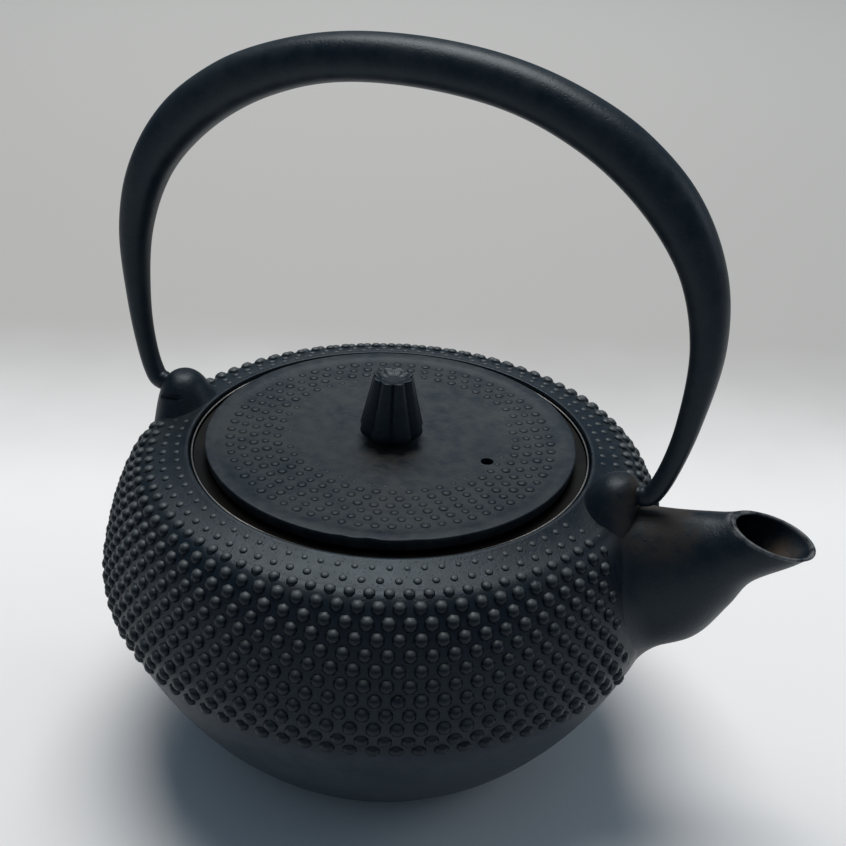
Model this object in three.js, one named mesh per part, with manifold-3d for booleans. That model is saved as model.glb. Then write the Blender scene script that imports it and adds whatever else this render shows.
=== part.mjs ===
// Cast iron kettle with a hobnail body, a swinging bail handle, a lift-off lid and a lift-out infuser.
// Millimetres, +Z up. The origin is the centre of the flat base, and the spout points along +X.
import * as THREE from 'three';
import { mergeVertices } from 'three/addons/utils/BufferGeometryUtils.js';
import Module from 'manifold-3d';

const wasm = await Module();
wasm.setup();

// Driving sizes of the cast body
const bellyRadius = 73.4;
const bellyHeight = 50;
const footRadius = 35.5;
const shoulderRadius = 59;
const shoulderHeight = 81.2;
const lipHeight = 83.2;
const lipWidth = 1.2;
const wallThickness = 3.4;
const floorThickness = 3.8;
const shoulderThickness = 4.4;
const bowlFullness = 1.44;
const bowlSoftness = 1.35;
const shoulderFullness = 2.18;
const shoulderSoftness = 1.25;

// Driving sizes of the lid and its knob
const lidRadius = 46.4;
const lidThickness = 3.4;
const lidStandOut = 2;
const lidEdgeRound = 1;
const grooveWidth = 4;
const lidFlangeDepth = 4.3;
const lidFlangeWall = 2.2;
const ventRadius = 1.6;
const ventDistance = 25.7;
const knobHeight = 17;
const knobFootRadius = 5.3;
const knobWidestRadius = 8.3;
const knobWidestShare = 0.17;
const knobTopRadius = 5.2;
const knobFluteCount = 8;
const knobFluteDepth = 0.55;
const knobCrownDip = 1.2;
const rivetRadius = 2;
const rivetHeadRadius = 4.2;
const rivetHeadHeight = 1.6;
const rivetGrip = 8;
const washerRadius = 6.5;
const washerThickness = 1;

// Driving sizes of the infuser basket
const infuserDepth = 39;
const infuserSheet = 0.6;
const infuserMeshThickness = 0.5;
const infuserRimLip = 0.9;
const infuserCollarDepth = 7;
const infuserRingHeight = 4.6;
const infuserRingShelf = 4.5;
const throatWall = 5.8;

// Driving sizes of the ears and the bail handle
const pivotHeight = 85.4;
const earOuterFace = 64.3;
const earLength = 11.3;
const earHalfWidth = 8;
const earRoofThickness = 1.8;
const earEdgeRound = 1.4;
const pinRadius = 2.3;
const pinLength = 8.5;
const handleRise = 93;
const handleReach = 74.6;
const handleReachHeight = 40;
const handleTopThickness = 11.6;
const handleTopWidth = 13;
const handleLegThickness = 5;
const handleLean = 7.5;
const handleShoulderSwell = 1.1;

// Driving sizes of the spout
const spoutTipReach = 105.6;
const spoutTipHeight = 81.9;
const spoutMouthBack = 86;
const spoutMouthBackHeight = 86.2;
const spoutRootTop = 83;
const spoutRootBottom = 43;
const spoutRootHalfWidth = 16;
const spoutMouthHalfWidth = 7.6;
const spoutWall = 2.4;

// Clearances between separate pieces
const seatGap = 0.3;
const pinClearance = 0.8;
const flangeClearance = 0.6;

// Roundness of the faceted solids
const bodySegments = 56;
const lidSegments = 48;
const infuserSegments = 36;

const castIron = (colour, roughness) =>
  new THREE.MeshStandardMaterial({ color: colour, roughness, metalness: 0.35 });
const bodyIron = castIron(0x2b3136, 0.55);
const lidIron = castIron(0x30363b, 0.6);
const handleIron = castIron(0x23292f, 0.5);
const knobIron = castIron(0x1b2126, 0.5);
const steel = new THREE.MeshStandardMaterial({ color: 0xb9bcbd, roughness: 0.3, metalness: 1 });
const fastenerSteel = new THREE.MeshStandardMaterial({ color: 0x6d6f70, roughness: 0.45, metalness: 1 });

// Keeps only positions, welds shared corners, drops collapsed faces and turns the faces outwards.
function weld(geometry) {
  const bare = geometry.clone();
  bare.deleteAttribute('normal');
  bare.deleteAttribute('uv');
  const merged = mergeVertices(bare, 1e-4);
  const source = merged.index.array;
  const kept = [];
  for (let i = 0; i < source.length; i += 3) {
    const [a, b, c] = [source[i], source[i + 1], source[i + 2]];
    if (a !== b && b !== c && c !== a) kept.push(a, b, c);
  }
  const p = merged.attributes.position.array;
  let volume = 0;
  for (let i = 0; i < kept.length; i += 3) {
    const [a, b, c] = [kept[i] * 3, kept[i + 1] * 3, kept[i + 2] * 3];
    volume += p[a] * (p[b + 1] * p[c + 2] - p[b + 2] * p[c + 1]);
    volume += p[a + 1] * (p[b + 2] * p[c] - p[b] * p[c + 2]);
    volume += p[a + 2] * (p[b] * p[c + 1] - p[b + 1] * p[c]);
  }
  if (volume < 0) kept.reverse();
  merged.setIndex(kept);
  return merged;
}

function toSolid(geometry) {
  const welded = weld(geometry);
  return new wasm.Manifold(new wasm.Mesh({
    numProp: 3,
    vertProperties: new Float32Array(welded.attributes.position.array),
    triVerts: new Uint32Array(welded.index.array),
  }));
}

function toGeometry(solid) {
  const mesh = solid.getMesh();
  const geometry = new THREE.BufferGeometry();
  geometry.setAttribute('position', new THREE.BufferAttribute(new Float32Array(mesh.vertProperties), 3));
  geometry.setIndex(Array.from(mesh.triVerts));
  return geometry;
}

// Turns an outline of [radius, height] pairs about the Z axis.
function revolve(outline, segments) {
  const points = outline.map(([radius, height]) => new THREE.Vector2(radius, height));
  return weld(new THREE.LatheGeometry(points, segments).rotateX(Math.PI / 2));
}

// A closed ring's outline is the same with its first point repeated at the end.
const revolveRing = (outline, segments) => revolve([...outline, outline[0]], segments);

// Joins rings of points, all of the same length, and closes both ends.
function loft(rings) {
  const sides = rings[0].length;
  const positions = rings.flat().flatMap((point) => [point.x, point.y, point.z]);
  const index = [];
  for (let ring = 0; ring < rings.length - 1; ring++) {
    for (let side = 0; side < sides; side++) {
      const next = (side + 1) % sides;
      const [a, b] = [ring * sides + side, ring * sides + next];
      index.push(a, b, b + sides, a, b + sides, a + sides);
    }
  }
  const last = (rings.length - 1) * sides;
  for (let side = 1; side < sides - 1; side++) {
    index.push(0, side + 1, side, last, last + side, last + side + 1);
  }
  const geometry = new THREE.BufferGeometry();
  geometry.setAttribute('position', new THREE.Float32BufferAttribute(positions, 3));
  geometry.setIndex(index);
  return weld(geometry);
}

// Points of a superellipse quarter from its widest place to its narrow end, both given as [radius, height].
function softArc([wideRadius, wideHeight], [endRadius, endHeight], softness, fullness, steps) {
  const points = [];
  for (let i = 0; i <= steps; i++) {
    const t = Math.sin((i / steps) * Math.PI / 2);
    const bulge = Math.max(0, 1 - t ** softness) ** (1 / fullness);
    points.push([endRadius + (wideRadius - endRadius) * bulge, wideHeight + (endHeight - wideHeight) * t]);
  }
  return points;
}

// Levels and radii that follow from the driving sizes
const recessRadius = lidRadius + grooveWidth;
const lipOuterRadius = recessRadius + lipWidth;
const throatRadius = recessRadius - throatWall;
const lidTop = lipHeight + lidStandOut;
const lidUnder = lidTop - lidThickness;
const infuserRimTop = lidUnder - seatGap;
const infuserRimUnder = infuserRimTop - infuserSheet;
const ledgeHeight = infuserRimUnder - seatGap;
const shoulderUnder = shoulderHeight - shoulderThickness;
const collarOuter = throatRadius - flangeClearance * 2;
const collarInner = collarOuter - infuserSheet;
const meshOuter = collarInner - seatGap;
const meshInner = meshOuter - infuserMeshThickness;
const infuserBottom = infuserRimTop - infuserDepth;

// The outer casting before it is hollowed
function bodyOutline() {
  const bowl = softArc([bellyRadius, bellyHeight], [footRadius, 0], bowlSoftness, bowlFullness, 10);
  const shoulder = softArc([bellyRadius, bellyHeight], [shoulderRadius, shoulderHeight],
    shoulderSoftness, shoulderFullness, 10);
  return [[0, 0], ...bowl.reverse(), ...shoulder.slice(1), [lipOuterRadius, lipHeight], [0, lipHeight]];
}

// The room inside the casting, with the throat and the recess that the infuser's rim and the lid sit in
function cavityOutline() {
  const wide = [bellyRadius - wallThickness, bellyHeight];
  const bowl = softArc(wide, [footRadius - wallThickness, floorThickness], bowlSoftness, bowlFullness, 8);
  const shoulder = softArc(wide, [shoulderRadius - wallThickness / 2, shoulderUnder],
    shoulderSoftness, shoulderFullness, 7);
  const above = lidTop + 10;
  return [[0, floorThickness], ...bowl.reverse(), ...shoulder.slice(1), [throatRadius, shoulderUnder],
    [throatRadius, ledgeHeight], [recessRadius, ledgeHeight], [recessRadius, above], [0, above]];
}

// An oval section between a top point and a bottom point of the spout's side view
function ovalRing(top, bottom, halfWidth, sides) {
  const ring = [];
  const middle = new THREE.Vector3().addVectors(top, bottom).multiplyScalar(0.5);
  const half = new THREE.Vector3().subVectors(top, bottom).multiplyScalar(0.5);
  for (let side = 0; side < sides; side++) {
    const angle = (side / sides) * 2 * Math.PI;
    const point = middle.clone().addScaledVector(half, Math.cos(angle));
    point.y += halfWidth * Math.sin(angle);
    ring.push(point);
  }
  return ring;
}

// The spout's top and bottom lines seen from the side, drawn in by inset for the channel
function spoutRings(inset) {
  const at = (x, z) => new THREE.Vector3(x, 0, z);
  const topLine = new THREE.CatmullRomCurve3([
    at(shoulderRadius - 5, spoutRootTop - 3), at(bellyRadius - 5, spoutRootTop),
    at(bellyRadius + 6, spoutRootTop + 1.3), at(spoutMouthBack, spoutMouthBackHeight - 0.3),
    at(spoutMouthBack + 9, spoutMouthBackHeight + 5),
  ]);
  const bottomLine = new THREE.CatmullRomCurve3([
    at(shoulderRadius - 1, spoutRootBottom - 8), at(bellyRadius, spoutRootBottom + 2.4),
    at(bellyRadius + 9.6, spoutRootBottom + 8.6), at(bellyRadius + 16.4, spoutRootBottom + 19.6),
    at(bellyRadius + 20.6, spoutRootBottom + 27.6), at(spoutTipReach - 1.6, spoutTipHeight - 3.2),
    at(spoutTipReach + 6, spoutTipHeight + 4),
  ]);
  const stations = 12;
  const rings = [];
  for (let station = 0; station <= stations; station++) {
    const t = station / stations;
    const top = topLine.getPoint(t);
    const bottom = bottomLine.getPoint(t);
    const across = new THREE.Vector3().subVectors(top, bottom).normalize();
    const taper = (1 - t) ** 1.6;
    const halfWidth = spoutMouthHalfWidth + (spoutRootHalfWidth - spoutMouthHalfWidth) * taper;
    top.addScaledVector(across, -inset);
    bottom.addScaledVector(across, inset);
    rings.push(ovalRing(top, bottom, halfWidth - inset, 16));
  }
  return rings;
}

// A block whose lower face is the slanting plane of the spout's mouth
function mouthCutter() {
  const slope = Math.atan2(spoutMouthBackHeight - spoutTipHeight, spoutTipReach - spoutMouthBack);
  const block = new THREE.BoxGeometry(60, 60, 30);
  block.translate(20, 0, 15);
  block.rotateY(slope);
  block.translate(spoutMouthBack, 0, spoutMouthBackHeight);
  return block;
}

// A tunnel-roofed lug on the shoulder, with its bore along X for the handle's pin
const boreRadius = pinRadius + pinClearance;
const earTopHeight = pivotHeight + boreRadius + earRoofThickness;

function earBlock() {
  const roofCentre = earTopHeight - earHalfWidth;
  const half = earHalfWidth - earEdgeRound;
  const arch = new THREE.Shape();
  arch.moveTo(-half - 2, shoulderUnder - 4);
  arch.lineTo(half + 2, shoulderUnder - 4);
  arch.lineTo(half, roofCentre);
  arch.absarc(0, roofCentre, half, 0, Math.PI, false);
  arch.lineTo(-half - 2, shoulderUnder - 4);
  const ear = new THREE.ExtrudeGeometry(arch, {
    depth: earLength - 2 * earEdgeRound, steps: 1, curveSegments: 6,
    bevelEnabled: true, bevelThickness: earEdgeRound, bevelSize: earEdgeRound, bevelSegments: 2,
  });
  ear.rotateX(Math.PI / 2).rotateZ(Math.PI / 2);
  ear.translate(earOuterFace - earLength + earEdgeRound, 0, 0);
  return ear;
}

function earBore() {
  const bore = new THREE.CylinderGeometry(boreRadius, boreRadius, earLength + 1, 16);
  bore.rotateZ(Math.PI / 2);
  bore.translate(earOuterFace - earLength / 2, 0, pivotHeight);
  return bore;
}

function kettleBody() {
  let solid = toSolid(revolve(bodyOutline(), bodySegments));
  solid = solid.add(toSolid(loft(spoutRings(0))));
  solid = solid.add(toSolid(earBlock()));
  solid = solid.add(toSolid(earBlock().rotateZ(Math.PI)));
  solid = solid.subtract(toSolid(revolve(cavityOutline(), bodySegments)));
  solid = solid.subtract(toSolid(loft(spoutRings(spoutWall))));
  solid = solid.subtract(toSolid(mouthCutter()));
  solid = solid.subtract(toSolid(earBore()));
  solid = solid.subtract(toSolid(earBore().rotateZ(Math.PI)));
  return toGeometry(solid);
}

// The handle's centre line in its own plane: x across, y up from the pivot
function handleLine() {
  const [reach, rise] = [handleReach, handleRise];
  const legFoot = earOuterFace + handleLegThickness / 2 + 1.5;
  const right = [
    [earOuterFace - pinLength, 0], [earOuterFace - 2, 0], [legFoot - 1.7, 0.7], [legFoot, 3],
    [legFoot + 2.4, 9.5], [reach - 1.4, 21], [reach, handleReachHeight],
    [reach * 0.952, rise * 0.602], [reach * 0.838, rise * 0.747], [reach * 0.665, rise * 0.864],
    [reach * 0.469, rise * 0.94], [reach * 0.27, rise * 0.983],
  ];
  const left = right.map(([x, y]) => [-x, y]).reverse();
  const points = [...right, [0, rise], ...left].map(([x, y]) => new THREE.Vector3(x, 0, y));
  return new THREE.CatmullRomCurve3(points, false, 'centripetal');
}

// The handle is thickest over the arch and thins to its legs and pins.
function handleThickness(height) {
  const share = THREE.MathUtils.smoothstep(height, 4, handleRise * 0.8);
  const swell = handleShoulderSwell * THREE.MathUtils.smoothstep(height, handleRise * 0.6, handleRise * 0.8)
    * (1 - THREE.MathUtils.smoothstep(height, handleRise * 0.86, handleRise));
  return handleLegThickness + (handleTopThickness - handleLegThickness) * share + swell;
}

function handleWidth(height) {
  const share = THREE.MathUtils.smoothstep(height, 4, handleRise * 0.85);
  return handleLegThickness + (handleTopWidth - handleLegThickness) * share;
}

function bailHandle() {
  const line = handleLine();
  const stations = 60;
  const sides = 12;
  const rings = [];
  const depth = new THREE.Vector3(0, 1, 0);
  for (let station = 0; station <= stations; station++) {
    const t = station / stations;
    const centre = line.getPointAt(t);
    const tangent = line.getTangentAt(t);
    const outward = new THREE.Vector3().crossVectors(depth, tangent).normalize();
    const inPin = Math.abs(centre.x) < earOuterFace + 0.6 && centre.z < pinRadius * 2;
    const halfThickness = inPin ? pinRadius : handleThickness(centre.z) / 2;
    const halfWidth = inPin ? pinRadius : handleWidth(centre.z) / 2;
    const ring = [];
    for (let side = 0; side < sides; side++) {
      const angle = (side / sides) * 2 * Math.PI;
      ring.push(centre.clone().addScaledVector(outward, halfThickness * Math.cos(angle))
        .addScaledVector(depth, halfWidth * Math.sin(angle)));
    }
    rings.push(ring);
  }
  return loft(rings);
}

// The lid plate with its locating flange below, pierced for the vent and the knob's rivet
const lidFlangeRadius = meshInner - flangeClearance;

function lidPlate() {
  const flangeInner = lidFlangeRadius - lidFlangeWall;
  const outline = [
    [0, lidUnder], [flangeInner, lidUnder], [flangeInner, lidUnder - lidFlangeDepth],
    [lidFlangeRadius, lidUnder - lidFlangeDepth], [lidFlangeRadius, lidUnder],
    [lidRadius - lidEdgeRound, lidUnder], [lidRadius, lidUnder + lidEdgeRound],
    [lidRadius, lidTop - lidEdgeRound], [lidRadius - lidEdgeRound * 0.3, lidTop - lidEdgeRound * 0.3],
    [lidRadius - lidEdgeRound, lidTop], [0, lidTop],
  ];
  const vent = new THREE.CylinderGeometry(ventRadius, ventRadius, lidThickness * 3, 16);
  vent.rotateX(Math.PI / 2);
  vent.translate(ventDistance, 0, lidTop);
  const rivetHole = new THREE.CylinderGeometry(rivetRadius + seatGap, rivetRadius + seatGap, lidThickness * 3, 20);
  rivetHole.rotateX(Math.PI / 2);
  rivetHole.translate(0, 0, lidTop);
  return toGeometry(toSolid(revolve(outline, lidSegments)).subtract(toSolid(vent)).subtract(toSolid(rivetHole)));
}

// A tapered knob with upright flutes and a slightly dished crown, bored from below for the rivet
const knobFoot = lidTop + seatGap;

function lidKnob() {
  const sides = knobFluteCount * 4;
  const levels = [0, 0.05, 0.11, knobWidestShare, 0.35, 0.6, 0.9, 0.97, 1];
  const rings = levels.map((rise) => {
    const low = Math.min(rise / knobWidestShare, 1);
    const high = Math.max(rise - knobWidestShare, 0) / (1 - knobWidestShare);
    const swelling = (knobWidestRadius - knobFootRadius) * Math.sin(low * Math.PI / 2);
    const taper = (knobWidestRadius - knobTopRadius) * high;
    const radius = knobFootRadius + swelling - taper - (rise === 1 ? knobFluteDepth / 2 : 0);
    const ring = [];
    for (let side = 0; side < sides; side++) {
      const angle = (side / sides) * 2 * Math.PI;
      const flute = knobFluteDepth * Math.cos(angle * knobFluteCount) * (rise > 0.03 ? 1 : 0);
      const here = radius - knobFluteDepth + flute;
      ring.push(new THREE.Vector3(here * Math.cos(angle), here * Math.sin(angle), knobFoot + knobHeight * rise));
    }
    return ring;
  });
  const crown = new THREE.ConeGeometry(knobTopRadius * 0.8, knobCrownDip * 2, 20);
  crown.rotateX(-Math.PI / 2);
  crown.translate(0, 0, knobFoot + knobHeight);
  const bore = new THREE.CylinderGeometry(rivetRadius + seatGap, rivetRadius + seatGap, rivetGrip * 2, 20);
  bore.rotateX(Math.PI / 2);
  bore.translate(0, 0, knobFoot + seatGap);
  return toGeometry(toSolid(loft(rings)).subtract(toSolid(crown)).subtract(toSolid(bore)));
}

const washerTop = lidUnder - seatGap;
const rivetHeadTop = washerTop - washerThickness - seatGap;

function knobWasher() {
  const inner = rivetRadius + seatGap;
  return revolveRing([
    [inner, washerTop - washerThickness], [washerRadius, washerTop - washerThickness],
    [washerRadius, washerTop], [inner, washerTop],
  ], 24);
}

function knobRivet() {
  const headBottom = rivetHeadTop - rivetHeadHeight;
  return revolve([
    [0, headBottom], [rivetHeadRadius * 0.6, headBottom + rivetHeadHeight * 0.15],
    [rivetHeadRadius * 0.9, headBottom + rivetHeadHeight * 0.55], [rivetHeadRadius, rivetHeadTop],
    [rivetRadius, rivetHeadTop], [rivetRadius, knobFoot + rivetGrip], [0, knobFoot + rivetGrip],
  ], 20);
}

// The infuser hangs by its rim in the mouth's recess.
function infuserRim() {
  const outer = recessRadius - seatGap * 1.5;
  return revolveRing([
    [collarInner, infuserRimTop - infuserCollarDepth], [collarOuter, infuserRimTop - infuserCollarDepth],
    [collarOuter, infuserRimUnder], [outer, infuserRimUnder], [outer, infuserRimTop + infuserRimLip],
    [outer - infuserSheet, infuserRimTop + infuserRimLip], [outer - infuserSheet, infuserRimTop],
    [collarInner, infuserRimTop],
  ], infuserSegments);
}

const ringWallTop = infuserBottom + infuserRingHeight;
const shelfTop = infuserBottom + infuserSheet;
const floorTop = shelfTop + seatGap + infuserMeshThickness;
const meshBottom = floorTop + seatGap;

function infuserWall() {
  const meshTop = infuserRimTop - infuserCollarDepth / 3;
  return revolveRing([
    [meshInner, meshBottom], [meshOuter, meshBottom], [meshOuter, meshTop], [meshInner, meshTop],
  ], infuserSegments);
}

function infuserFloor() {
  return revolve([
    [0, shelfTop + seatGap], [meshOuter, shelfTop + seatGap], [meshOuter, floorTop], [0, floorTop],
  ], infuserSegments);
}

function infuserBottomRing() {
  return revolveRing([
    [meshOuter - infuserRingShelf, infuserBottom], [collarOuter, infuserBottom], [collarOuter, ringWallTop],
    [collarInner, ringWallTop], [collarInner, shelfTop], [meshOuter - infuserRingShelf, shelfTop],
  ], infuserSegments);
}

const kettle = new THREE.Group();

function addPiece(parent, name, geometry, material) {
  const mesh = new THREE.Mesh(geometry, material);
  mesh.name = name;
  parent.add(mesh);
  return mesh;
}

addPiece(kettle, 'kettle_body', kettleBody(), bodyIron);

const handleGroup = new THREE.Group();
handleGroup.position.set(0, 0, pivotHeight);
handleGroup.rotation.x = -THREE.MathUtils.degToRad(handleLean);
addPiece(handleGroup, 'bail_handle', bailHandle(), handleIron);
kettle.add(handleGroup);

const lidGroup = new THREE.Group();
addPiece(lidGroup, 'lid_plate', lidPlate(), lidIron);
addPiece(lidGroup, 'lid_knob', lidKnob(), knobIron);
addPiece(lidGroup, 'knob_washer', knobWasher(), fastenerSteel);
addPiece(lidGroup, 'knob_rivet', knobRivet(), fastenerSteel);
kettle.add(lidGroup);

const infuserGroup = new THREE.Group();
addPiece(infuserGroup, 'infuser_rim', infuserRim(), steel);
addPiece(infuserGroup, 'infuser_mesh_wall', infuserWall(), steel);
addPiece(infuserGroup, 'infuser_mesh_floor', infuserFloor(), steel);
addPiece(infuserGroup, 'infuser_bottom_ring', infuserBottomRing(), steel);
kettle.add(infuserGroup);

export default kettle;
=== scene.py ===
"""Looks of a squat cast iron kettle: hobnail body, bail handle, lift-off lid and lift-out infuser."""

import logging
import math
from dataclasses import dataclass, field
from enum import Enum
from typing import Any, Callable, Sequence

import bmesh
import bpy
from mathutils import Matrix, Vector


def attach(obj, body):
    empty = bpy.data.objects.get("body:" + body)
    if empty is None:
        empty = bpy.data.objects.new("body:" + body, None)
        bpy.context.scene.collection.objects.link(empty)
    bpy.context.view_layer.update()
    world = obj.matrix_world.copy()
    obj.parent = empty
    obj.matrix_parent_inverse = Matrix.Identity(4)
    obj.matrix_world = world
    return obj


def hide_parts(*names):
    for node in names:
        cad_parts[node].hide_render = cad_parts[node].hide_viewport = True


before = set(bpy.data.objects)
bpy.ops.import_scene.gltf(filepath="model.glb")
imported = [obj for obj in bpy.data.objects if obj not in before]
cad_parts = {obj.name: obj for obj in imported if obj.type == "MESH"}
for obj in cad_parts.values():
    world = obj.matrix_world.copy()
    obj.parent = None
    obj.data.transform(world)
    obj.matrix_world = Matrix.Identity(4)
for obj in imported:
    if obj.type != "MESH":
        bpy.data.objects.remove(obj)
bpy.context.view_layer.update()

MM = 0.001
LOG = logging.getLogger("kettle")
Outline = list[tuple[float, float]]
Loop = list[Vector]
Colour = tuple[float, float, float]
Place = tuple[float, float, float]


class Casting(Enum):
    """The kettle's separate iron castings."""

    BODY = "body_iron"
    HANDLE = "handle_iron"
    LID = "lid_iron"
    KNOB = "knob_iron"


class Form(Enum):
    """What a field sets on each of its points."""

    DOME = "squashed ball"
    WIRE = "bar along its facing"


class Number:
    """A number socket of a shader, which arithmetic extends with Math nodes."""

    def __init__(self, shader: "Shader", socket: Any) -> None:
        """Wraps a socket of that shader's tree."""
        self.shader = shader
        self.socket = socket

    def math(self, operation: str, *others: Any) -> "Number":
        """Adds one Math node.

        Args:
            operation: The Math node's operation.
            others: The further operands, numbers or Number objects.

        Returns:
            The node's result.
        """
        return self.shader.math(operation, self, *others)

    def __add__(self, other: Any) -> "Number":
        """Returns self + other."""
        return self.math("ADD", other)

    def __radd__(self, other: Any) -> "Number":
        """Returns other + self."""
        return self.math("ADD", other)

    def __sub__(self, other: Any) -> "Number":
        """Returns self - other."""
        return self.math("SUBTRACT", other)

    def __rsub__(self, other: Any) -> "Number":
        """Returns other - self."""
        return self.shader.math("SUBTRACT", other, self)

    def __mul__(self, other: Any) -> "Number":
        """Returns self * other."""
        return self.math("MULTIPLY", other)

    def __rmul__(self, other: Any) -> "Number":
        """Returns other * self."""
        return self.math("MULTIPLY", other)

    def __truediv__(self, other: Any) -> "Number":
        """Returns self / other."""
        return self.math("DIVIDE", other)

    def __pow__(self, other: Any) -> "Number":
        """Returns self to the power of other."""
        return self.math("POWER", other)

    def step(self, low: float, high: float) -> "Number":
        """Adds a smooth step.

        Args:
            low: Where the step is 0.
            high: Where it is 1, which may be below low.

        Returns:
            A number from 0 to 1.
        """
        node =self.shader.node("ShaderNodeMapRange", {"interpolation_type": "SMOOTHSTEP"},
                                {"Value": self, "From Min": low, "From Max": high})
        return Number(self.shader, node.outputs["Result"])


class Shader:
    """One material's node tree."""

    def __init__(self, name: str) -> None:
        """Starts a material with a Principled BSDF.

        Args:
            name: The material's name.
        """
        self.material = bpy.data.materials.new(name)
        self.material.use_nodes = True
        self.tree = self.material.node_tree
        self.surface = self.tree.nodes["Principled BSDF"]
        self.coords = self.node("ShaderNodeTexCoord").outputs["Object"]
        self.place = self.node("ShaderNodeSeparateXYZ", {}, {"Vector": self.coords})

    def node(self, kind: str, settings: dict[str, Any] | None = None,
             inputs: dict[Any, Any] | None = None) -> Any:
        """Adds one node of any type.

        Args:
            kind: The node's type.
            settings: Its properties, and "stops" for a ramp, set before its sockets.
            inputs: Values, sockets or Number objects by the socket's name, number or identifier.

        Returns:
            The new node.
        """
        made = self.tree.nodes.new(kind)
        for key, value in (settings or {}).items():
            if key == "stops":
                ramp = made.color_ramp
                while len(ramp.elements) < len(value):
                    ramp.elements.new(0.5)
                for element, (position, colour) in zip(ramp.elements, value):
                    element.position = position
                    element.color = (*colour, 1)
            else:
                setattr(made, key, value)
        for key, value in (inputs or {}).items():
            matches = [s for s in made.inputs if s.identifier == key]
            socket = matches[0] if matches else made.inputs[key]
            self.feed(socket, value)
        return made

    def feed(self, socket: Any, value: Any) -> None:
        """Links or sets one socket.

        Args:
            socket: The input socket.
            value: A plain value, an output socket or a Number.
        """
        value = value.socket if isinstance(value, Number) else value
        if isinstance(value, bpy.types.NodeSocket):
            self.tree.links.new(value, socket)
        else:
            socket.default_value = (*value, 1) if socket.type == "RGBA" and len(value) == 3 else value

    def math(self, operation: str, *values: Any) -> Number:
        """Returns the result of a Math node on numbers or Number objects."""
        made = self.node("ShaderNodeMath", {"operation": operation}, dict(enumerate(values)))
        return Number(self, made.outputs[0])

    def axis(self, name: str) -> Number:
        """Returns the X, Y or Z place on the piece, in millimetres."""
        return Number(self, self.place.outputs[name]) * (1 / MM)

    def noise(self, scale: float, detail: float = 3, roughness: float = 0.55,
              stretch: tuple[float, float, float] = (1, 1, 1)) -> Number:
        """Adds a noise texture.

        Args:
            scale: Features per metre.
            detail: Octaves.
            roughness: Weight of the finer octaves.
            stretch: Scale of the coordinates along each axis.

        Returns:
            Noise from 0 to 1.
        """
        mapped = self.node("ShaderNodeMapping", {}, {"Vector": self.coords, "Scale": stretch})
        made = self.node("ShaderNodeTexNoise", {}, {"Vector": mapped.outputs[0], "Scale": scale,
                                                    "Detail": detail, "Roughness": roughness})
        return Number(self, made.outputs["Fac"])

    def pits(self, scale: float) -> Number:
        """Returns the distance to the nearest of scattered points, about 0 to 1."""
        made = self.node("ShaderNodeTexVoronoi", {}, {"Vector": self.coords, "Scale": scale})
        return Number(self, made.outputs["Distance"])

    def mix(self, factor: Any, first: Any, second: Any) -> Any:
        """Mixes two colours.

        Args:
            factor: Share of the second colour.
            first: The first colour.
            second: The second colour.

        Returns:
            The mixed colour's socket.
        """
        made = self.node("ShaderNodeMix", {"data_type": "RGBA"},
                         {"Factor_Float": factor, "A_Color": first, "B_Color": second})
        return next(s for s in made.outputs if s.identifier == "Result_Color")

    def near(self, centre: Place, reach: float) -> Number:
        """Marks the surroundings of a place.

        Args:
            centre: The place in millimetres.
            reach: How far the mark goes, in millimetres.

        Returns:
            1 at the place, fading to 0 at its reach.
        """
        total: Number | None = None
        for name, value in zip("XYZ", centre):
            part = (self.axis(name) - value) * (1 / reach)
            square = part * part
            total = square if total is None else total + square
        return total.step(1, 0)

    def attribute(self, name: str) -> Number:
        """Returns a number that the mesh holds under that name, and 0 where it holds none."""
        return Number(self, self.node("ShaderNodeAttribute", {"attribute_name": name}).outputs["Fac"])

    def finish(self, colour: Any, roughness: Any, metallic: float, height: Any = None,
               depth: float = 0.1, strength: float = 1) -> bpy.types.Material:
        """Fills the Principled BSDF.

        Args:
            colour: Base colour.
            roughness: Roughness.
            metallic: Metallic share.
            height: Bump height from 0 to 1, or None.
            depth: Bump depth in millimetres.
            strength: Bump strength.

        Returns:
            The finished material.
        """
        self.feed(self.surface.inputs["Base Color"], colour)
        self.feed(self.surface.inputs["Roughness"], roughness)
        self.surface.inputs["Metallic"].default_value = metallic
        if height is not None:
            bump = self.node("ShaderNodeBump", {}, {"Height": height, "Distance": depth * MM,
                                                    "Strength": strength})
            self.feed(self.surface.inputs["Normal"], bump.outputs[0])
        return self.material


@dataclass(frozen=True)
class RustSpot:
    """A faint rusty patch: its place and reach in millimetres, and its share of full rust."""

    place: Place
    reach: float
    amount: float


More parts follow.
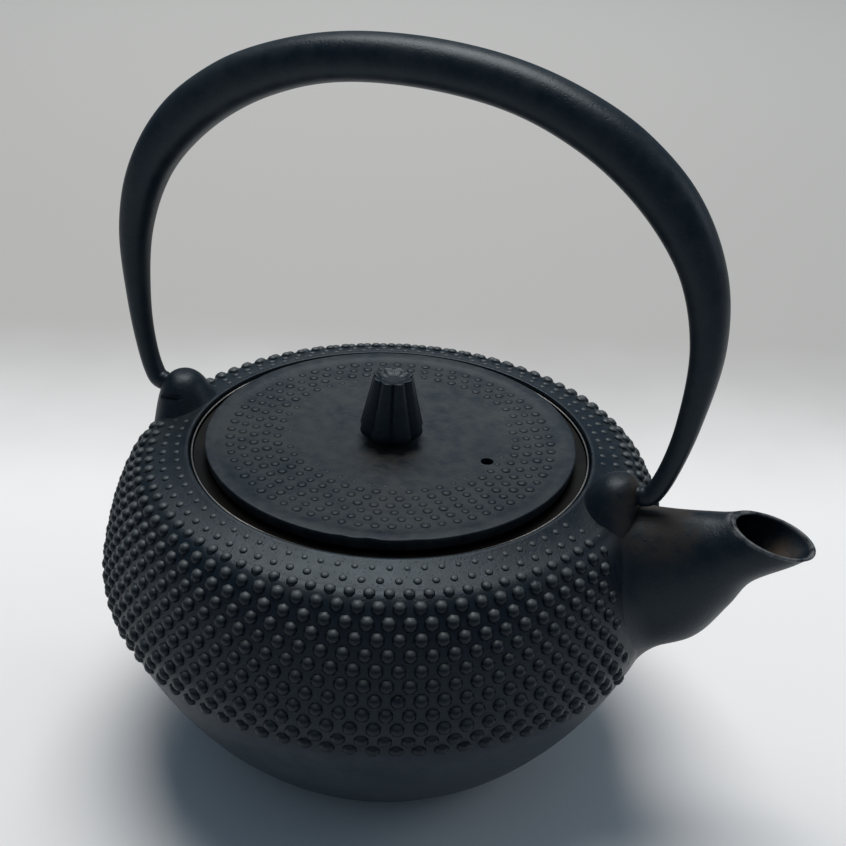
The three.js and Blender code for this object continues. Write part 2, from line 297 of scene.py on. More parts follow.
@dataclass(frozen=True)
class CastIron:
    """Satin black cast iron as it leaves the sand mould, stoved and handled."""

    casting: Casting
    dark: Colour = (0.0022, 0.0068, 0.0130)
    light: Colour = (0.0115, 0.0165, 0.0205)
    grey: float = 1.0
    speck: Colour = (0.05, 0.055, 0.06)
    rusty: Colour = (0.05, 0.032, 0.02)
    bare: Colour = (0.16, 0.165, 0.17)
    # Painted reflection of the table, mixed into the lower body.
    painted_reflection: Colour = (0.030, 0.040, 0.050)
    roughness: float = 0.43
    specular: float = 0.3
    tint: Colour = (0.74, 0.89, 1.0)
    cloud_scale: float = 38
    mottle_scale: float = 260
    pit_scale: float = 900
    grain_scale: float = 1300
    grain_depth: float = 0.09
    # Studded castings get painted shade and light on their studs: the next colour darkens each stud's
    # visible part where shadow falls, and the one after it lightens the studs' upward faces as a painted
    # highlight.
    paints_stud_shading: bool = False
    stud: Colour = (0.0010, 0.0030, 0.0065)
    stud_painted_highlight: Colour = (0.075, 0.084, 0.088)
    rust: tuple[RustSpot, ...] = ()
    # Below this height the colour turns to the painted table reflection.
    reflection_below: float | None = None
    reflection_fade: float = 8
    wear: Callable[[Shader], Number] | None = None

    def material(self) -> bpy.types.Material:
        """Builds the casting's procedural material.

        Returns:
            The material, named as its casting's slot.
        """
        shader = Shader(self.casting.value)
        cloud = shader.noise(self.cloud_scale, 4, 0.6)
        mottle = shader.noise(self.mottle_scale, 4, 0.6)
        grain = shader.noise(self.grain_scale, 3, 0.6)
        pits = shader.pits(self.pit_scale).step(0.32, 0.08)
        tone = (cloud * 0.5 + mottle * 0.5).step(0.36, 0.66)
        light = tuple(self.grey * part for part in self.light)
        colour = shader.mix(tone, self.dark, light)
        colour = shader.mix(grain.step(0.6, 0.78) * 0.3, colour, self.speck)
        rough = self.roughness + (mottle - 0.5) * 0.22 + (cloud - 0.5) * 0.16
        for spot in self.rust:
            patch = shader.near(spot.place, spot.reach)
            patch = patch * (mottle * 0.6 + cloud * 0.7).step(0.5, 0.78) * spot.amount
            colour = shader.mix(patch, colour, self.rusty)
            rough = rough + patch * 0.25
        if self.wear is not None:
            wear_and_painted_light = self.wear(shader) * mottle.step(0.3, 0.62)
            colour = shader.mix(wear_and_painted_light * 0.75, colour, self.bare)
        # Painted reflection: the bowl below a height is lightened as if it mirrored the pale table.
        if self.reflection_below is not None:
            faded = self.reflection_below - self.reflection_fade
            painted_reflection = shader.axis("Z").step(self.reflection_below, faded) * (tone * 0.5 + 0.5)
            colour = shader.mix(painted_reflection, colour, self.painted_reflection)
        # Painted shade and light on the studs: their visible part is darkened as if shadowed, and their
        # upward faces are lightened as a painted highlight.
        if self.paints_stud_shading:
            crown = shader.attribute("crown")
            colour = shader.mix(crown.step(0.02, 0.1) * 0.8, colour, self.stud)
            wear_and_painted_light = shader.attribute("upward").step(0.35, 0.95) * mottle.step(0.2, 0.5)
            colour = shader.mix(wear_and_painted_light * 0.85, colour, self.stud_painted_highlight)
        height = grain * 0.55 + mottle * 0.75 - pits * 0.35
        shader.surface.inputs["Specular IOR Level"].default_value = self.specular
        shader.surface.inputs["Specular Tint"].default_value = (*self.tint, 1)
        return shader.finish(colour, rough, 0.0, height, self.grain_depth)


@dataclass(frozen=True)
class Steel:
    """Stainless or plain steel, drawn or spun."""

    name: str
    colour: Colour = (0.26, 0.26, 0.255)
    dullness: float = 0.72
    roughness: float = 0.34
    line_scale: float = 900
    line_stretch: tuple[float, float, float] = (0.08, 0.08, 1)
    cloud_scale: float = 60
    # Painted shade: darkens the rim inside its lip, where the lid's shadow falls.
    painted_shade: Colour = (0.012, 0.011, 0.010)
    shaded_within: float | None = None
    shaded_above: float = 78

    def material(self) -> bpy.types.Material:
        """Builds the steel's procedural material.

        Returns:
            The material, darkened with painted shade within the given radius where there is one.
        """
        shader = Shader(self.name)
        lines = shader.noise(self.line_scale, 3, 0.6, self.line_stretch)
        cloud = shader.noise(self.cloud_scale, 3)
        dull = tuple(self.dullness * part for part in self.colour)
        colour = shader.mix(cloud.step(0.35, 0.7), dull, self.colour)
        # Painted shade of the lid on the rim: inside the given radius and above a height the steel turns
        # dark.
        if self.shaded_within is not None:
            radius = (shader.axis("X") ** 2 + shader.axis("Y") ** 2) ** 0.5
            painted_shade = radius.step(self.shaded_within, self.shaded_within - 0.3)
            painted_shade = painted_shade * shader.axis("Z").step(self.shaded_above, self.shaded_above + 2)
            colour = shader.mix(painted_shade * 0.96, colour, self.painted_shade)
        return shader.finish(colour, self.roughness + (lines - 0.5) * 0.25, 1.0, lines, 0.02, 0.5)


@dataclass(frozen=True)
class Ground:
    """Pale table top that turns greyer behind the kettle and paler again farther off, painted shade and
    light in place of a wall.
    """

    near: Colour = (0.80, 0.81, 0.825)
    far: Colour = (0.405, 0.407, 0.40)
    farther: Colour = (0.60, 0.60, 0.585)
    grey_from: float = 90
    grey_to: float = 240
    paler_from: float = 250
    paler_to: float = 1100
    cloud_scale: float = 9
    cloud_shift: float = 60
    roughness: float = 0.75

    def material(self, towards: Vector) -> bpy.types.Material:
        """Builds the table's material.

        Args:
            towards: Level direction from the kettle to the table's grey end.

        Returns:
            The material.
        """
        shader = Shader("table_top")
        along = shader.axis("X") * towards.x + shader.axis("Y") * towards.y
        cloud = shader.noise(self.cloud_scale, 3)
        # Painted shade and light: the grey band behind the kettle and the paler stretch beyond it stand in
        # for a dim wall.
        grey = (along + (cloud - 0.5) * self.cloud_shift).step(self.grey_from, self.grey_to)
        colour = shader.mix(grey, self.near, self.far)
        colour = shader.mix(along.step(self.paler_from, self.paler_to), colour, self.farther)
        return shader.finish(colour, self.roughness, 0.0)


def soft_arc(wide: tuple[float, float], end: tuple[float, float], softness: float, fullness: float,
             steps: int) -> Outline:
    """Draws a superellipse quarter.

    Args:
        wide: Its widest place as radius and height.
        end: Its narrow end as radius and height.
        softness: How softly it leaves its widest place.
        fullness: How full its shoulder is.
        steps: Number of spans.

    Returns:
        Its points from the widest place to the end.
    """
    points = []
    for step in range(steps + 1):
        t = math.sin(step / steps * math.pi / 2)
        bulge = max(0.0, 1 - t ** softness) ** (1 / fullness)
        points.append((end[0] + (wide[0] - end[0]) * bulge, wide[1] + (end[1] - wide[1]) * t))
    return points


def round_corner(before: tuple[float, float], corner: tuple[float, float], after: tuple[float, float],
                 radius: float, steps: int = 4) -> Outline:
    """Rounds one corner of an outline with a small curve.

    Args:
        before: The outline point before the corner.
        corner: The sharp corner.
        after: The outline point after it.
        radius: Where the curve starts and ends, from the corner.
        steps: Number of spans.

    Returns:
        The curve's points.
    """
    middle = Vector(corner)
    start = middle + (Vector(before) - middle).normalized() * radius
    end = middle + (Vector(after) - middle).normalized() * radius
    points = []
    for step in range(steps + 1):
        t = step / steps
        point = start * (1 - t) ** 2 + middle * 2 * t * (1 - t) + end * t * t
        points.append((point.x, point.y))
    return points


def rounded(outline: Outline, radii: Sequence[float], closed: bool = False) -> Outline:
    """Rounds the corners of an outline.

    Args:
        outline: Its corners.
        radii: One radius for each corner; 0 keeps the corner sharp.
        closed: Whether the last corner joins the first.

    Returns:
        The rounded outline.
    """
    points: Outline = []
    count = len(outline)
    for place, (corner, radius) in enumerate(zip(outline, radii)):
        inner = closed or 0 < place < count - 1
        if radius > 0 and inner:
            points += round_corner(outline[place - 1], corner, outline[(place + 1) % count], radius)
        else:
            points.append(corner)
    return points


def curve_point(points: Sequence[Vector], t: float) -> Vector:
    """Finds a place on the smooth curve through some points, spaced by the root of their distances.

    Args:
        points: The points that the curve passes through.
        t: The place, from 0 at the first point to 1 at the last.

    Returns:
        The point there.
    """
    last = len(points) - 1
    place = min(max(t, 0.0), 1.0) * last
    span = min(int(place), last - 1)
    weight = place - span
    before = points[span - 1] if span > 0 else points[0] * 2 - points[1]
    after = points[span + 2] if span + 2 <= last else points[last] * 2 - points[last - 1]
    p = [before, points[span], points[span + 1], after]
    knots = [0.0]
    for a, b in zip(p, p[1:]):
        knots.append(knots[-1] + max((b - a).length ** 0.5, 1e-4))
    u = knots[1] + (knots[2] - knots[1]) * weight

    def blend(a: Vector, b: Vector, low: float, high: float) -> Vector:
        """Returns the point at u between a at low and b at high."""
        return a * ((high - u) / (high - low)) + b * ((u - low) / (high - low))

    a1 = blend(p[0], p[1], knots[0], knots[1])
    a2 = blend(p[1], p[2], knots[1], knots[2])
    a3 = blend(p[2], p[3], knots[2], knots[3])
    b1 = blend(a1, a2, knots[0], knots[2])
    b2 = blend(a2, a3, knots[1], knots[3])
    return blend(b1, b2, knots[1], knots[2])


def smooth(value: float, low: float, high: float) -> float:
    """Returns 0 below low and 1 above high, with a smooth way between."""
    t = min(max((value - low) / (high - low), 0.0), 1.0)
    return t * t * (3 - 2 * t)


def shade(mesh: bpy.types.Mesh, sharp_degrees: float) -> None:
    """Welds a mesh, turns its faces outwards and smooths it but for its sharp edges.

    Args:
        mesh: The mesh to change.
        sharp_degrees: Edges that bend more than this stay sharp.
    """
    shape = bmesh.new()
    shape.from_mesh(mesh)
    bmesh.ops.remove_doubles(shape, verts=shape.verts, dist=1e-7)
    bmesh.ops.recalc_face_normals(shape, faces=shape.faces)
    for face in shape.faces:
        face.smooth = True
    for edge in shape.edges:
        edge.smooth = len(edge.link_faces) != 2 or edge.calc_face_angle() < math.radians(sharp_degrees)
    shape.to_mesh(mesh)
    shape.free()


def make_piece(name: str, points: Sequence[Vector], faces: Sequence[Sequence[int]],
               material: bpy.types.Material | None, sharp_degrees: float = 40) -> bpy.types.Object:
    """Makes one mesh object from points in millimetres.

    Args:
        name: The piece's name.
        points: Its points.
        faces: Its faces.
        material: Its material.
        sharp_degrees: Edges that bend more than this stay sharp.

    Returns:
        The new object, at the origin, with its normals outwards.
    """
    mesh = bpy.data.meshes.new(name)
    mesh.from_pydata([tuple(point * MM) for point in points], [], [tuple(face) for face in faces])
    shade(mesh, sharp_degrees)
    if material is not None:
        mesh.materials.append(material)
    piece = bpy.data.objects.new(name, mesh)
    bpy.context.scene.collection.objects.link(piece)
    return piece


def lathe(name: str, outline: Outline, segments: int, material: bpy.types.Material | None,
          closed: bool = False, warp: Callable[[float, float, float], float] | None = None,
          sharp_degrees: float = 40) -> bpy.types.Object:
    """Turns an outline about the Z axis.

    Args:
        name: The piece's name.
        outline: Radius and height of each point, in millimetres.
        segments: Steps round the axis.
        material: The piece's material.
        closed: Whether the outline closes on itself.
        warp: Gives the radius at a radius, a height and an angle.
        sharp_degrees: Edges that bend more than this stay sharp.

    Returns:
        The turned piece.
    """
    points = []
    for step in range(segments):
        angle = 2 * math.pi * step / segments
        for radius, height in outline:
            here = warp(radius, height, angle) if warp and radius > 0 else radius
            points.append(Vector((here * math.cos(angle), here * math.sin(angle), height)))
    count = len(outline)
    spans = count if closed else count - 1
    faces = []
    for step in range(segments):
        base, ahead = step * count, (step + 1) % segments * count
        for row in range(spans):
            up = (row + 1) % count
            corners = [base + row, ahead + row, ahead + up, base + up]
            if outline[row][0] == 0:
                corners.remove(ahead + row)
            if outline[up][0] == 0:
                corners.remove(ahead + up)
            if len(corners) > 2:
                faces.append(corners)
    return make_piece(name, points, faces, material, sharp_degrees)


def skin(name: str, loops: Sequence[Loop], material: bpy.types.Material | None, close_ends: bool = True,
         sharp_degrees: float = 40) -> bpy.types.Object:
    """Joins loops of points that all have the same length.

    Args:
        name: The piece's name.
        loops: The loops in order, in millimetres.
        material: The piece's material.
        close_ends: Whether the first and last loops get a cap.
        sharp_degrees: Edges that bend more than this stay sharp.

    Returns:
        The skinned piece.
    """
    sides = len(loops[0])
    points = [point for loop in loops for point in loop]
    faces: list[list[int]] = []
    for row in range(len(loops) - 1):
        for side in range(sides):
            ahead = (side + 1) % sides
            a, b = row * sides + side, row * sides + ahead
            faces.append([a, b, b + sides, a + sides])
    if close_ends:
        for row in (0, len(loops) - 1):
            hub = len(points)
            points.append(sum(loops[row], Vector()) / sides)
            faces += [[row * sides + s, row * sides + (s + 1) % sides, hub] for s in range(sides)]
    return make_piece(name, points, faces, material, sharp_degrees)


def baked(piece: bpy.types.Object) -> bpy.types.Object:
    """Turns a piece's modifiers into plain mesh and removes them.

    Args:
        piece: The piece to change.

    Returns:
        The same piece.
    """
    graph = bpy.context.evaluated_depsgraph_get()
    mesh = bpy.data.meshes.new_from_object(piece.evaluated_get(graph), depsgraph=graph)
    piece.modifiers.clear()
    piece.data = mesh
    return piece


def cut(piece: bpy.types.Object, tools: Sequence[bpy.types.Object],
        sharp_degrees: float = 35) -> bpy.types.Object:
    """Cuts tools out of a piece and deletes them.

    Args:
        piece: The piece to cut.
        tools: The closed meshes that are taken away.
        sharp_degrees: Edges that bend more than this stay sharp.

    Returns:
        The same piece.
    """
    for tool in tools:
        change = piece.modifiers.new("cut", "BOOLEAN")
        change.operation = "DIFFERENCE"
        change.solver = "EXACT"
        change.object = tool
    baked(piece)
    shade(piece.data, sharp_degrees)
    for tool in tools:
        bpy.data.objects.remove(tool)
    return piece


def bar(name: str, start: Vector, end: Vector, radius: float, sides: int = 32) -> bpy.types.Object:
    """Makes a round bar as a tool to cut with.

    Args:
        name: The bar's name.
        start: The middle of its first end, in millimetres.
        end: The middle of its other end.
        radius: Its radius.
        sides: Its number of sides.

    Returns:
        The bar.
    """
    axis = (end - start).normalized()
    across = axis.orthogonal().normalized()
    other = axis.cross(across)
    loops = []
    for centre in (start, end):
        turns = [2 * math.pi * side / sides for side in range(sides)]
        loops.append([centre + across * radius * math.cos(a) + other * radius * math.sin(a) for a in turns])
    return skin(name, loops, None)


@dataclass
class Stud:
    """One place of a stud or wire: where it stands, which way it faces and its share of full size."""

    place: Vector
    facing: Vector
    share: Vector


class StudField:
    """A Geometry Nodes tree that sets a small form on every point of a cloud."""

    def __init__(self, name: str, form: Form, sides: int, rings: int = 2) -> None:
        """Builds the tree.

        Args:
            name: The tree's name.
            form: What it sets on the points.
            sides: Sides of the form.
            rings: Rings of a dome.
        """
        self.tree = bpy.data.node_groups.new(name, "GeometryNodeTree")
        face = self.tree.interface
        sizes = {"Geometry": "Geometry", "Form Radius": "Float", "Form Height": "Float",
                 "Unevenness": "Float", "Seed": "Int", "Finish": "Material"}
        for key, kind in sizes.items():
            face.new_socket(key, in_out="INPUT", socket_type=f"NodeSocket{kind}")
        face.new_socket("Geometry", in_out="OUTPUT", socket_type="NodeSocketGeometry")
        start = self.add("NodeGroupInput")
        end = self.add("NodeGroupOutput")
        if form is Form.DOME:
            shape = self.add("GeometryNodeMeshUVSphere", {"Segments": sides, "Rings": rings, "Radius": 1.0})
        else:
            shape = self.add("GeometryNodeMeshCylinder", {"Vertices": sides, "Radius": 1.0, "Depth": 1.0})
        place = self.add("GeometryNodeInputPosition")
        parts = self.add("ShaderNodeSeparateXYZ", {"Vector": place.outputs["Position"]})
        # Each form's own height, stored so the iron material can paint the studs dark, a painted shade.
        crown = self.add("GeometryNodeStoreNamedAttribute", {
            "Geometry": shape.outputs["Mesh"], "Name": "crown", "Value": parts.outputs["Z"]})
        facing = self.attribute("facing")
        share = self.attribute("share")
        turn = self.add("FunctionNodeAlignRotationToVector", {"Vector": facing})
        uneven = self.add("FunctionNodeRandomValue", {"Seed": start.outputs["Seed"]})
        low = self.value_math("SUBTRACT", 1.0, start.outputs["Unevenness"])
        high = self.value_math("ADD", 1.0, start.outputs["Unevenness"])
        self.link(low, next(s for s in uneven.inputs if s.identifier == "Min_001"))
        self.link(high, next(s for s in uneven.inputs if s.identifier == "Max_001"))
        chance = next(s for s in uneven.outputs if s.identifier == "Value_001")
        size = self.add("ShaderNodeCombineXYZ", {"X": start.outputs["Form Radius"],
                                                "Y": start.outputs["Form Radius"],
                                                "Z": start.outputs["Form Height"]})
        sized = self.vector_math("MULTIPLY", size.outputs[0], share)
        sized = self.vector_math("SCALE", sized, chance)
        spread = self.add("GeometryNodeInstanceOnPoints", {
            "Points": start.outputs["Geometry"], "Instance": crown.outputs["Geometry"],
            "Rotation": turn.outputs["Rotation"], "Scale": sized})
        real = self.add("GeometryNodeRealizeInstances", {"Geometry": spread.outputs["Instances"]})
        shade = self.add("GeometryNodeSetShadeSmooth", {"Geometry": real.outputs["Geometry"]})
        normal = self.add("GeometryNodeInputNormal")
        level = self.add("ShaderNodeSeparateXYZ", {"Vector": normal.outputs["Normal"]})
        # How far each face looks up, stored so the iron material can paint the studs' upper faces lighter,
        # a painted highlight.
        upward = self.add("GeometryNodeStoreNamedAttribute", {
            "Geometry": shade.outputs["Geometry"], "Name": "upward", "Value": level.outputs["Z"]})
        paint = self.add("GeometryNodeSetMaterial", {"Geometry": upward.outputs["Geometry"],
                                                     "Material": start.outputs["Finish"]})
        self.link(paint.outputs["Geometry"], end.inputs["Geometry"])

    def link(self, source: Any, target: Any) -> None:
        """Links two sockets."""
        self.tree.links.new(source, target)

    def add(self, kind: str, inputs: dict[str, Any] | None = None) -> Any:
        """Adds one node.

        Args:
            kind: The node's type.
            inputs: Values or output sockets by the socket's name.

        Returns:
            The new node.
        """
        made = self.tree.nodes.new(kind)
        for key, value in (inputs or {}).items():
            if isinstance(value, bpy.types.NodeSocket):
                self.link(value, made.inputs[key])
            else:
                made.inputs[key].default_value = value
        return made

    def attribute(self, name: str) -> Any:
        """Reads a vector that each point holds.

        Args:
            name: The name under which it is held.

        Returns:
            The vector's socket.
        """
        made = self.tree.nodes.new("GeometryNodeInputNamedAttribute")
        made.data_type = "FLOAT_VECTOR"
        made.inputs["Name"].default_value = name
        return made.outputs["Attribute"]

    def value_math(self, operation: str, first: Any, second: Any) -> Any:
        """Adds a Math node.

        Args:
            operation: Its operation.
            first: The first number or socket.
            second: The second number or socket.

        Returns:
            The result's socket.
        """
        made = self.tree.nodes.new("ShaderNodeMath")
        made.operation = operation
        for socket, value in zip(made.inputs, (first, second)):
            if isinstance(value, bpy.types.NodeSocket):
                self.link(value, socket)
            else:
                socket.default_value = value
        return made.outputs[0]

    def vector_math(self, operation: str, first: Any, second: Any) -> Any:
        """Adds a Vector Math node.

        Args:
            operation: Its operation.
            first: The first vector's socket.
            second: The second vector's socket, or a number's for SCALE.

        Returns:
            The result's socket.
        """
        made = self.tree.nodes.new("ShaderNodeVectorMath")
        made.operation = operation
        self.link(first, made.inputs[0])
        self.link(second, made.inputs["Scale"] if operation == "SCALE" else made.inputs[1])
        return made.outputs[0]

    def grow(self, name: str, studs: Sequence[Stud], radius: float, height: float, unevenness: float,
             seed: int, material: bpy.types.Material) -> bpy.types.Object:
        """Sets the form on every stud's place.

        Args:
            name: The piece's name.
            studs: The places.
            radius: The form's radius in millimetres.
            height: Its height or length in millimetres.
            unevenness: Share by which its size varies.
            seed: Seed of that variation.
            material: The piece's material.

        Returns:
            The piece as a plain mesh.
        """
        mesh = bpy.data.meshes.new(name)
        mesh.from_pydata([tuple(stud.place * MM) for stud in studs], [], [])
        for key in ("facing", "share"):
            layer = mesh.attributes.new(key, "FLOAT_VECTOR", "POINT")
            for item, stud in zip(layer.data, studs):
                item.vector = getattr(stud, key)
        piece = bpy.data.objects.new(name, mesh)
        bpy.context.scene.collection.objects.link(piece)
        change = piece.modifiers.new("studs", "NODES")
        change.node_group = self.tree
        values = {"Form Radius": radius * MM, "Form Height": height * MM, "Unevenness": unevenness,
                  "Seed": seed, "Finish": material}
        for item in self.tree.interface.items_tree:
            if item.item_type == "SOCKET" and item.in_out == "INPUT" and item.name in values:
                change[item.identifier] = values[item.name]
        baked(piece)
        piece.data.name = name
        return piece


@dataclass
class KettleBody:
    """The cast body: bowl, shoulder, mouth, spout and two ears. Sizes in millimetres."""

    belly_radius: float = 73.4
    belly_height: float = 50
    foot_radius: float = 35.5
    shoulder_radius: float = 59
    shoulder_height: float = 81.2
    lip_height: float = 83.2
    recess_radius: float = 50.4
    lip_width: float = 1.2
    ledge_height: float = 80.6
    throat_radius: float = 44.6
    shoulder_thickness: float = 4.4
    wall: float = 3.4
    floor: float = 3.8
    bowl_curve: tuple[float, float] = (1.35, 1.44)
    shoulder_curve: tuple[float, float] = (1.25, 2.18)
    nub_radius: float = 1.82
    nub_height: float = 1.35
    nub_sink: float = 0.15
    nub_unevenness: float = 0.05
    nub_seed: int = 7
    least_nub: float = 0.12
    nubs_in_ring: int = 86
    nub_rows: int = 14
    nub_row_pitch: float = 3.55
    first_row: float = 2.3
    bare_at_spout: tuple[float, float] = (17.5, 24)
    bare_spout_height: float = 62
    bare_at_ears: tuple[float, float] = (9.5, 11)
    bare_ear_distance: float = 59
    pivot_height: float = 85.4
    ear_face: float = 64.3
    ear_centre: float = 59.6
    ear_outer_length: float = 8.2
    ear_inner_length: float = 8.6
    ear_half_width: float = 9.6
    ear_top: float = 89.6
    ear_rings: int = 30
    ear_turns: int = 96
    seams: tuple[tuple[Place, Place], ...] = (((-67, -6.6, 84.2), (-55.5, -6.6, 85.7)),
                                              ((-67, -8.2, 84.0), (-55.5, -7.8, 85.4)))
    seam_radius: float = 0.75
    bore_radius: float = 2.5
    pin_length: float = 8.5
    spout_stations: int = 56
    spout_sides: int = 72
    flare_steps: int = 9
    lip_steps: int = 6
    channel_steps: int = 24
    spout_top_root: float = 83.0
    spout_bottom_root: float = 43.0
    spout_wall: float = 2.4
    lip: float = 1.0
    spout_root_half_width: float = 16
    spout_mouth_half_width: float = 7.6
    mouth_back: tuple[float, float] = (86.0, 86.2)
    mouth_tip: tuple[float, float] = (105.6, 81.9)
    fillet: float = 5.5
    inset: float = 0.12

    def outer(self) -> Outline:
        """Draws the outer outline under the nubs.

        Returns:
            Its points from the foot's edge to the lip.
        """
        relief = self.nub_height - self.nub_sink
        wide = (self.belly_radius - relief, self.belly_height)
        bowl = soft_arc(wide, (self.foot_radius, 0), *self.bowl_curve, 26)
        shoulder_end = (self.shoulder_radius - 0.4, self.shoulder_height - 0.6)
        shoulder = soft_arc(wide, shoulder_end, *self.shoulder_curve, 30)
        lip = self.recess_radius + self.lip_width
        rim = rounded([shoulder[-1], (lip + 0.6, self.lip_height - 0.35), (lip - 0.3, self.lip_height)],
                      [0, 0.6, 0])
        return [*reversed(bowl), *shoulder[1:], *rim[1:]]

    def surface_radius(self, height: float) -> float:
        """Measures the body under the nubs.

        Args:
            height: The height, up to the lip.

        Returns:
            The outer radius there.
        """
        outline = self.outer()
        for (r0, z0), (r1, z1) in zip(outline, outline[1:]):
            if z0 <= height <= z1 and z1 > z0:
                return r0 + (r1 - r0) * (height - z0) / (z1 - z0)
        return outline[0][0] if height < 0 else 0.0

    def shell_outline(self) -> Outline:
        """Draws the whole outline of the hollow casting.

        Returns:
            Its points, from the axis underneath round the mouth to the axis inside.
        """
        foot = [(0.0, 0.7), (27.0, 0.7), (28.6, 0.0), (self.foot_radius - 0.6, 0.0)]
        wide = (self.belly_radius - self.wall, self.belly_height)
        under = self.shoulder_height - self.shoulder_thickness
        bowl = soft_arc(wide, (self.foot_radius - self.wall, self.floor), *self.bowl_curve, 16)
        shoulder_end = (self.shoulder_radius - self.wall / 2, under)
        shoulder = soft_arc(wide, shoulder_end, *self.shoulder_curve, 14)
        mouth = rounded([
            (self.recess_radius + 0.7, self.lip_height), (self.recess_radius, self.lip_height),
            (self.recess_radius, self.ledge_height), (self.throat_radius, self.ledge_height),
            (self.throat_radius, under), (self.shoulder_radius - self.wall / 2, under),
        ], [0, 0.45, 0.9, 0.6, 0.8, 0])
        return [*foot, *self.outer(), *mouth, *reversed(shoulder[:-1]), *bowl[1:], (0.0, self.floor)]

    def spout_lines(self) -> tuple[Loop, Loop]:
        """Draws the spout as it is seen from the side.

        Returns:
            The points of its top line and of its bottom line, from inside the pot to past the mouth.
        """
        top_root, bottom_root, belly = self.spout_top_root, self.spout_bottom_root, self.belly_radius
        back, tip = self.mouth_back, self.mouth_tip
        top = [(self.shoulder_radius - 5, top_root - 3), (belly - 5, top_root - 0.7),
               (belly + 6, top_root + 1.3), (back[0], back[1] - 0.3), (back[0] + 9, back[1] + 5)]
        bottom = [(self.shoulder_radius - 1, bottom_root - 8), (belly, bottom_root + 2.4),
                  (belly + 9.6, bottom_root + 8.6), (belly + 16.4, bottom_root + 19.6),
                  (belly + 20.6, bottom_root + 27.6), (tip[0] - 1.6, tip[1] - 3.2),
                  (tip[0] + 6, tip[1] + 4)]
        return ([Vector((x, 0, z)) for x, z in top], [Vector((x, 0, z)) for x, z in bottom])

    def spout_point(self, t: float, angle: float, inset: float) -> Vector:
        """Finds a point on the spout.

        Args:
            t: Place along the spout, from 0 in the pot to 1 past the mouth.
            angle: Place round the spout, 0 at its top.
            inset: Depth below its outer surface.

        Returns:
            The point.
        """
        top_line, bottom_line = self.spout_lines()
        top, bottom = curve_point(top_line, t), curve_point(bottom_line, t)
        across = (top - bottom).normalized()
        width = self.spout_mouth_half_width
        width += (self.spout_root_half_width - self.spout_mouth_half_width) * (1 - t) ** 1.6
        top, bottom = top - across * inset, bottom + across * inset
        point = (top + bottom) / 2 + (top - bottom) / 2 * math.cos(angle)
        point.y += (width - inset) * math.sin(angle)
        return point

    def above_mouth(self, point: Vector) -> float:
        """Measures from the slanting plane of the spout's mouth.

        Args:
            point: The point that is measured.

        Returns:
            How far it lies above the plane.
        """
        back, tip = self.mouth_back, self.mouth_tip
        along = Vector((tip[0] - back[0], tip[1] - back[1])).normalized()
        return (point.x - back[0]) * -along.y + (point.z - back[1]) * along.x

    def outside(self, point: Vector) -> float:
        """Measures level from the body's surface.

        Args:
            point: The point that is measured.

        Returns:
            How far it lies outside the body, and well outside above the lip.
        """
        if point.z > self.lip_height:
            return 9.0
        return math.hypot(point.x, point.y) - self.surface_radius(point.z)

    def crossing(self, angle: float, inset: float, test: Callable[[Vector], float], low: float,
                 high: float) -> float:
        """Finds where along the spout a test turns from below zero to above it.

        Args:
            angle: Place round the spout.
            inset: Depth below its outer surface.
            test: The test of a point.
            low: Where the search starts along the spout.
            high: Where it ends.

        Returns:
            The place along the spout.
        """
        for _ in range(26):
            middle = (low + high) / 2
            if test(self.spout_point(middle, angle, inset)) < 0:
                low = middle
            else:
                high = middle
        return (low + high) / 2

    def flare(self, hinge: Vector, first: Vector, fillet: float) -> Loop:
        """Draws one line of the root's fillet.

        Args:
            hinge: Where the bare spout meets the body.
            first: Where the fillet ends on the spout.
            fillet: The fillet's reach on the body.

        Returns:
            Its points from the body up to the spout, without the last.
        """
        outward = hinge - Vector((self.belly_radius - 4, 0, 63))
        outward.x = 0
        foot = hinge + outward.normalized() * fillet
        foot.z = min(foot.z, self.lip_height - 0.6)
        reach = self.surface_radius(foot.z) - 0.25
        foot.x = math.sqrt(max(reach * reach - foot.y * foot.y, 1.0))
        line = [foot]
        for step in range(1, self.flare_steps):
            t = step / self.flare_steps
            line.append(foot * (1 - t) ** 2 + hinge * 2 * t * (1 - t) + first * t * t)
        return line

    def rolled_lip(self, outer: Vector, inner: Vector) -> Loop:
        """Rounds the spout's lip.

        Args:
            outer: The outer surface's last point.
            inner: The channel's first point.

        Returns:
            The points from the outer one over the lip to the inner one.
        """
        out_of_mouth = Vector((0.214, 0, 0.977))
        middle, half = (outer + inner) / 2, (outer - inner) / 2
        line = []
        for step in range(self.lip_steps + 1):
            turn = math.pi * step / self.lip_steps
            line.append(middle + half * math.cos(turn) - out_of_mouth * 0.5
                        + out_of_mouth * 0.4 * math.sin(turn))
        return line

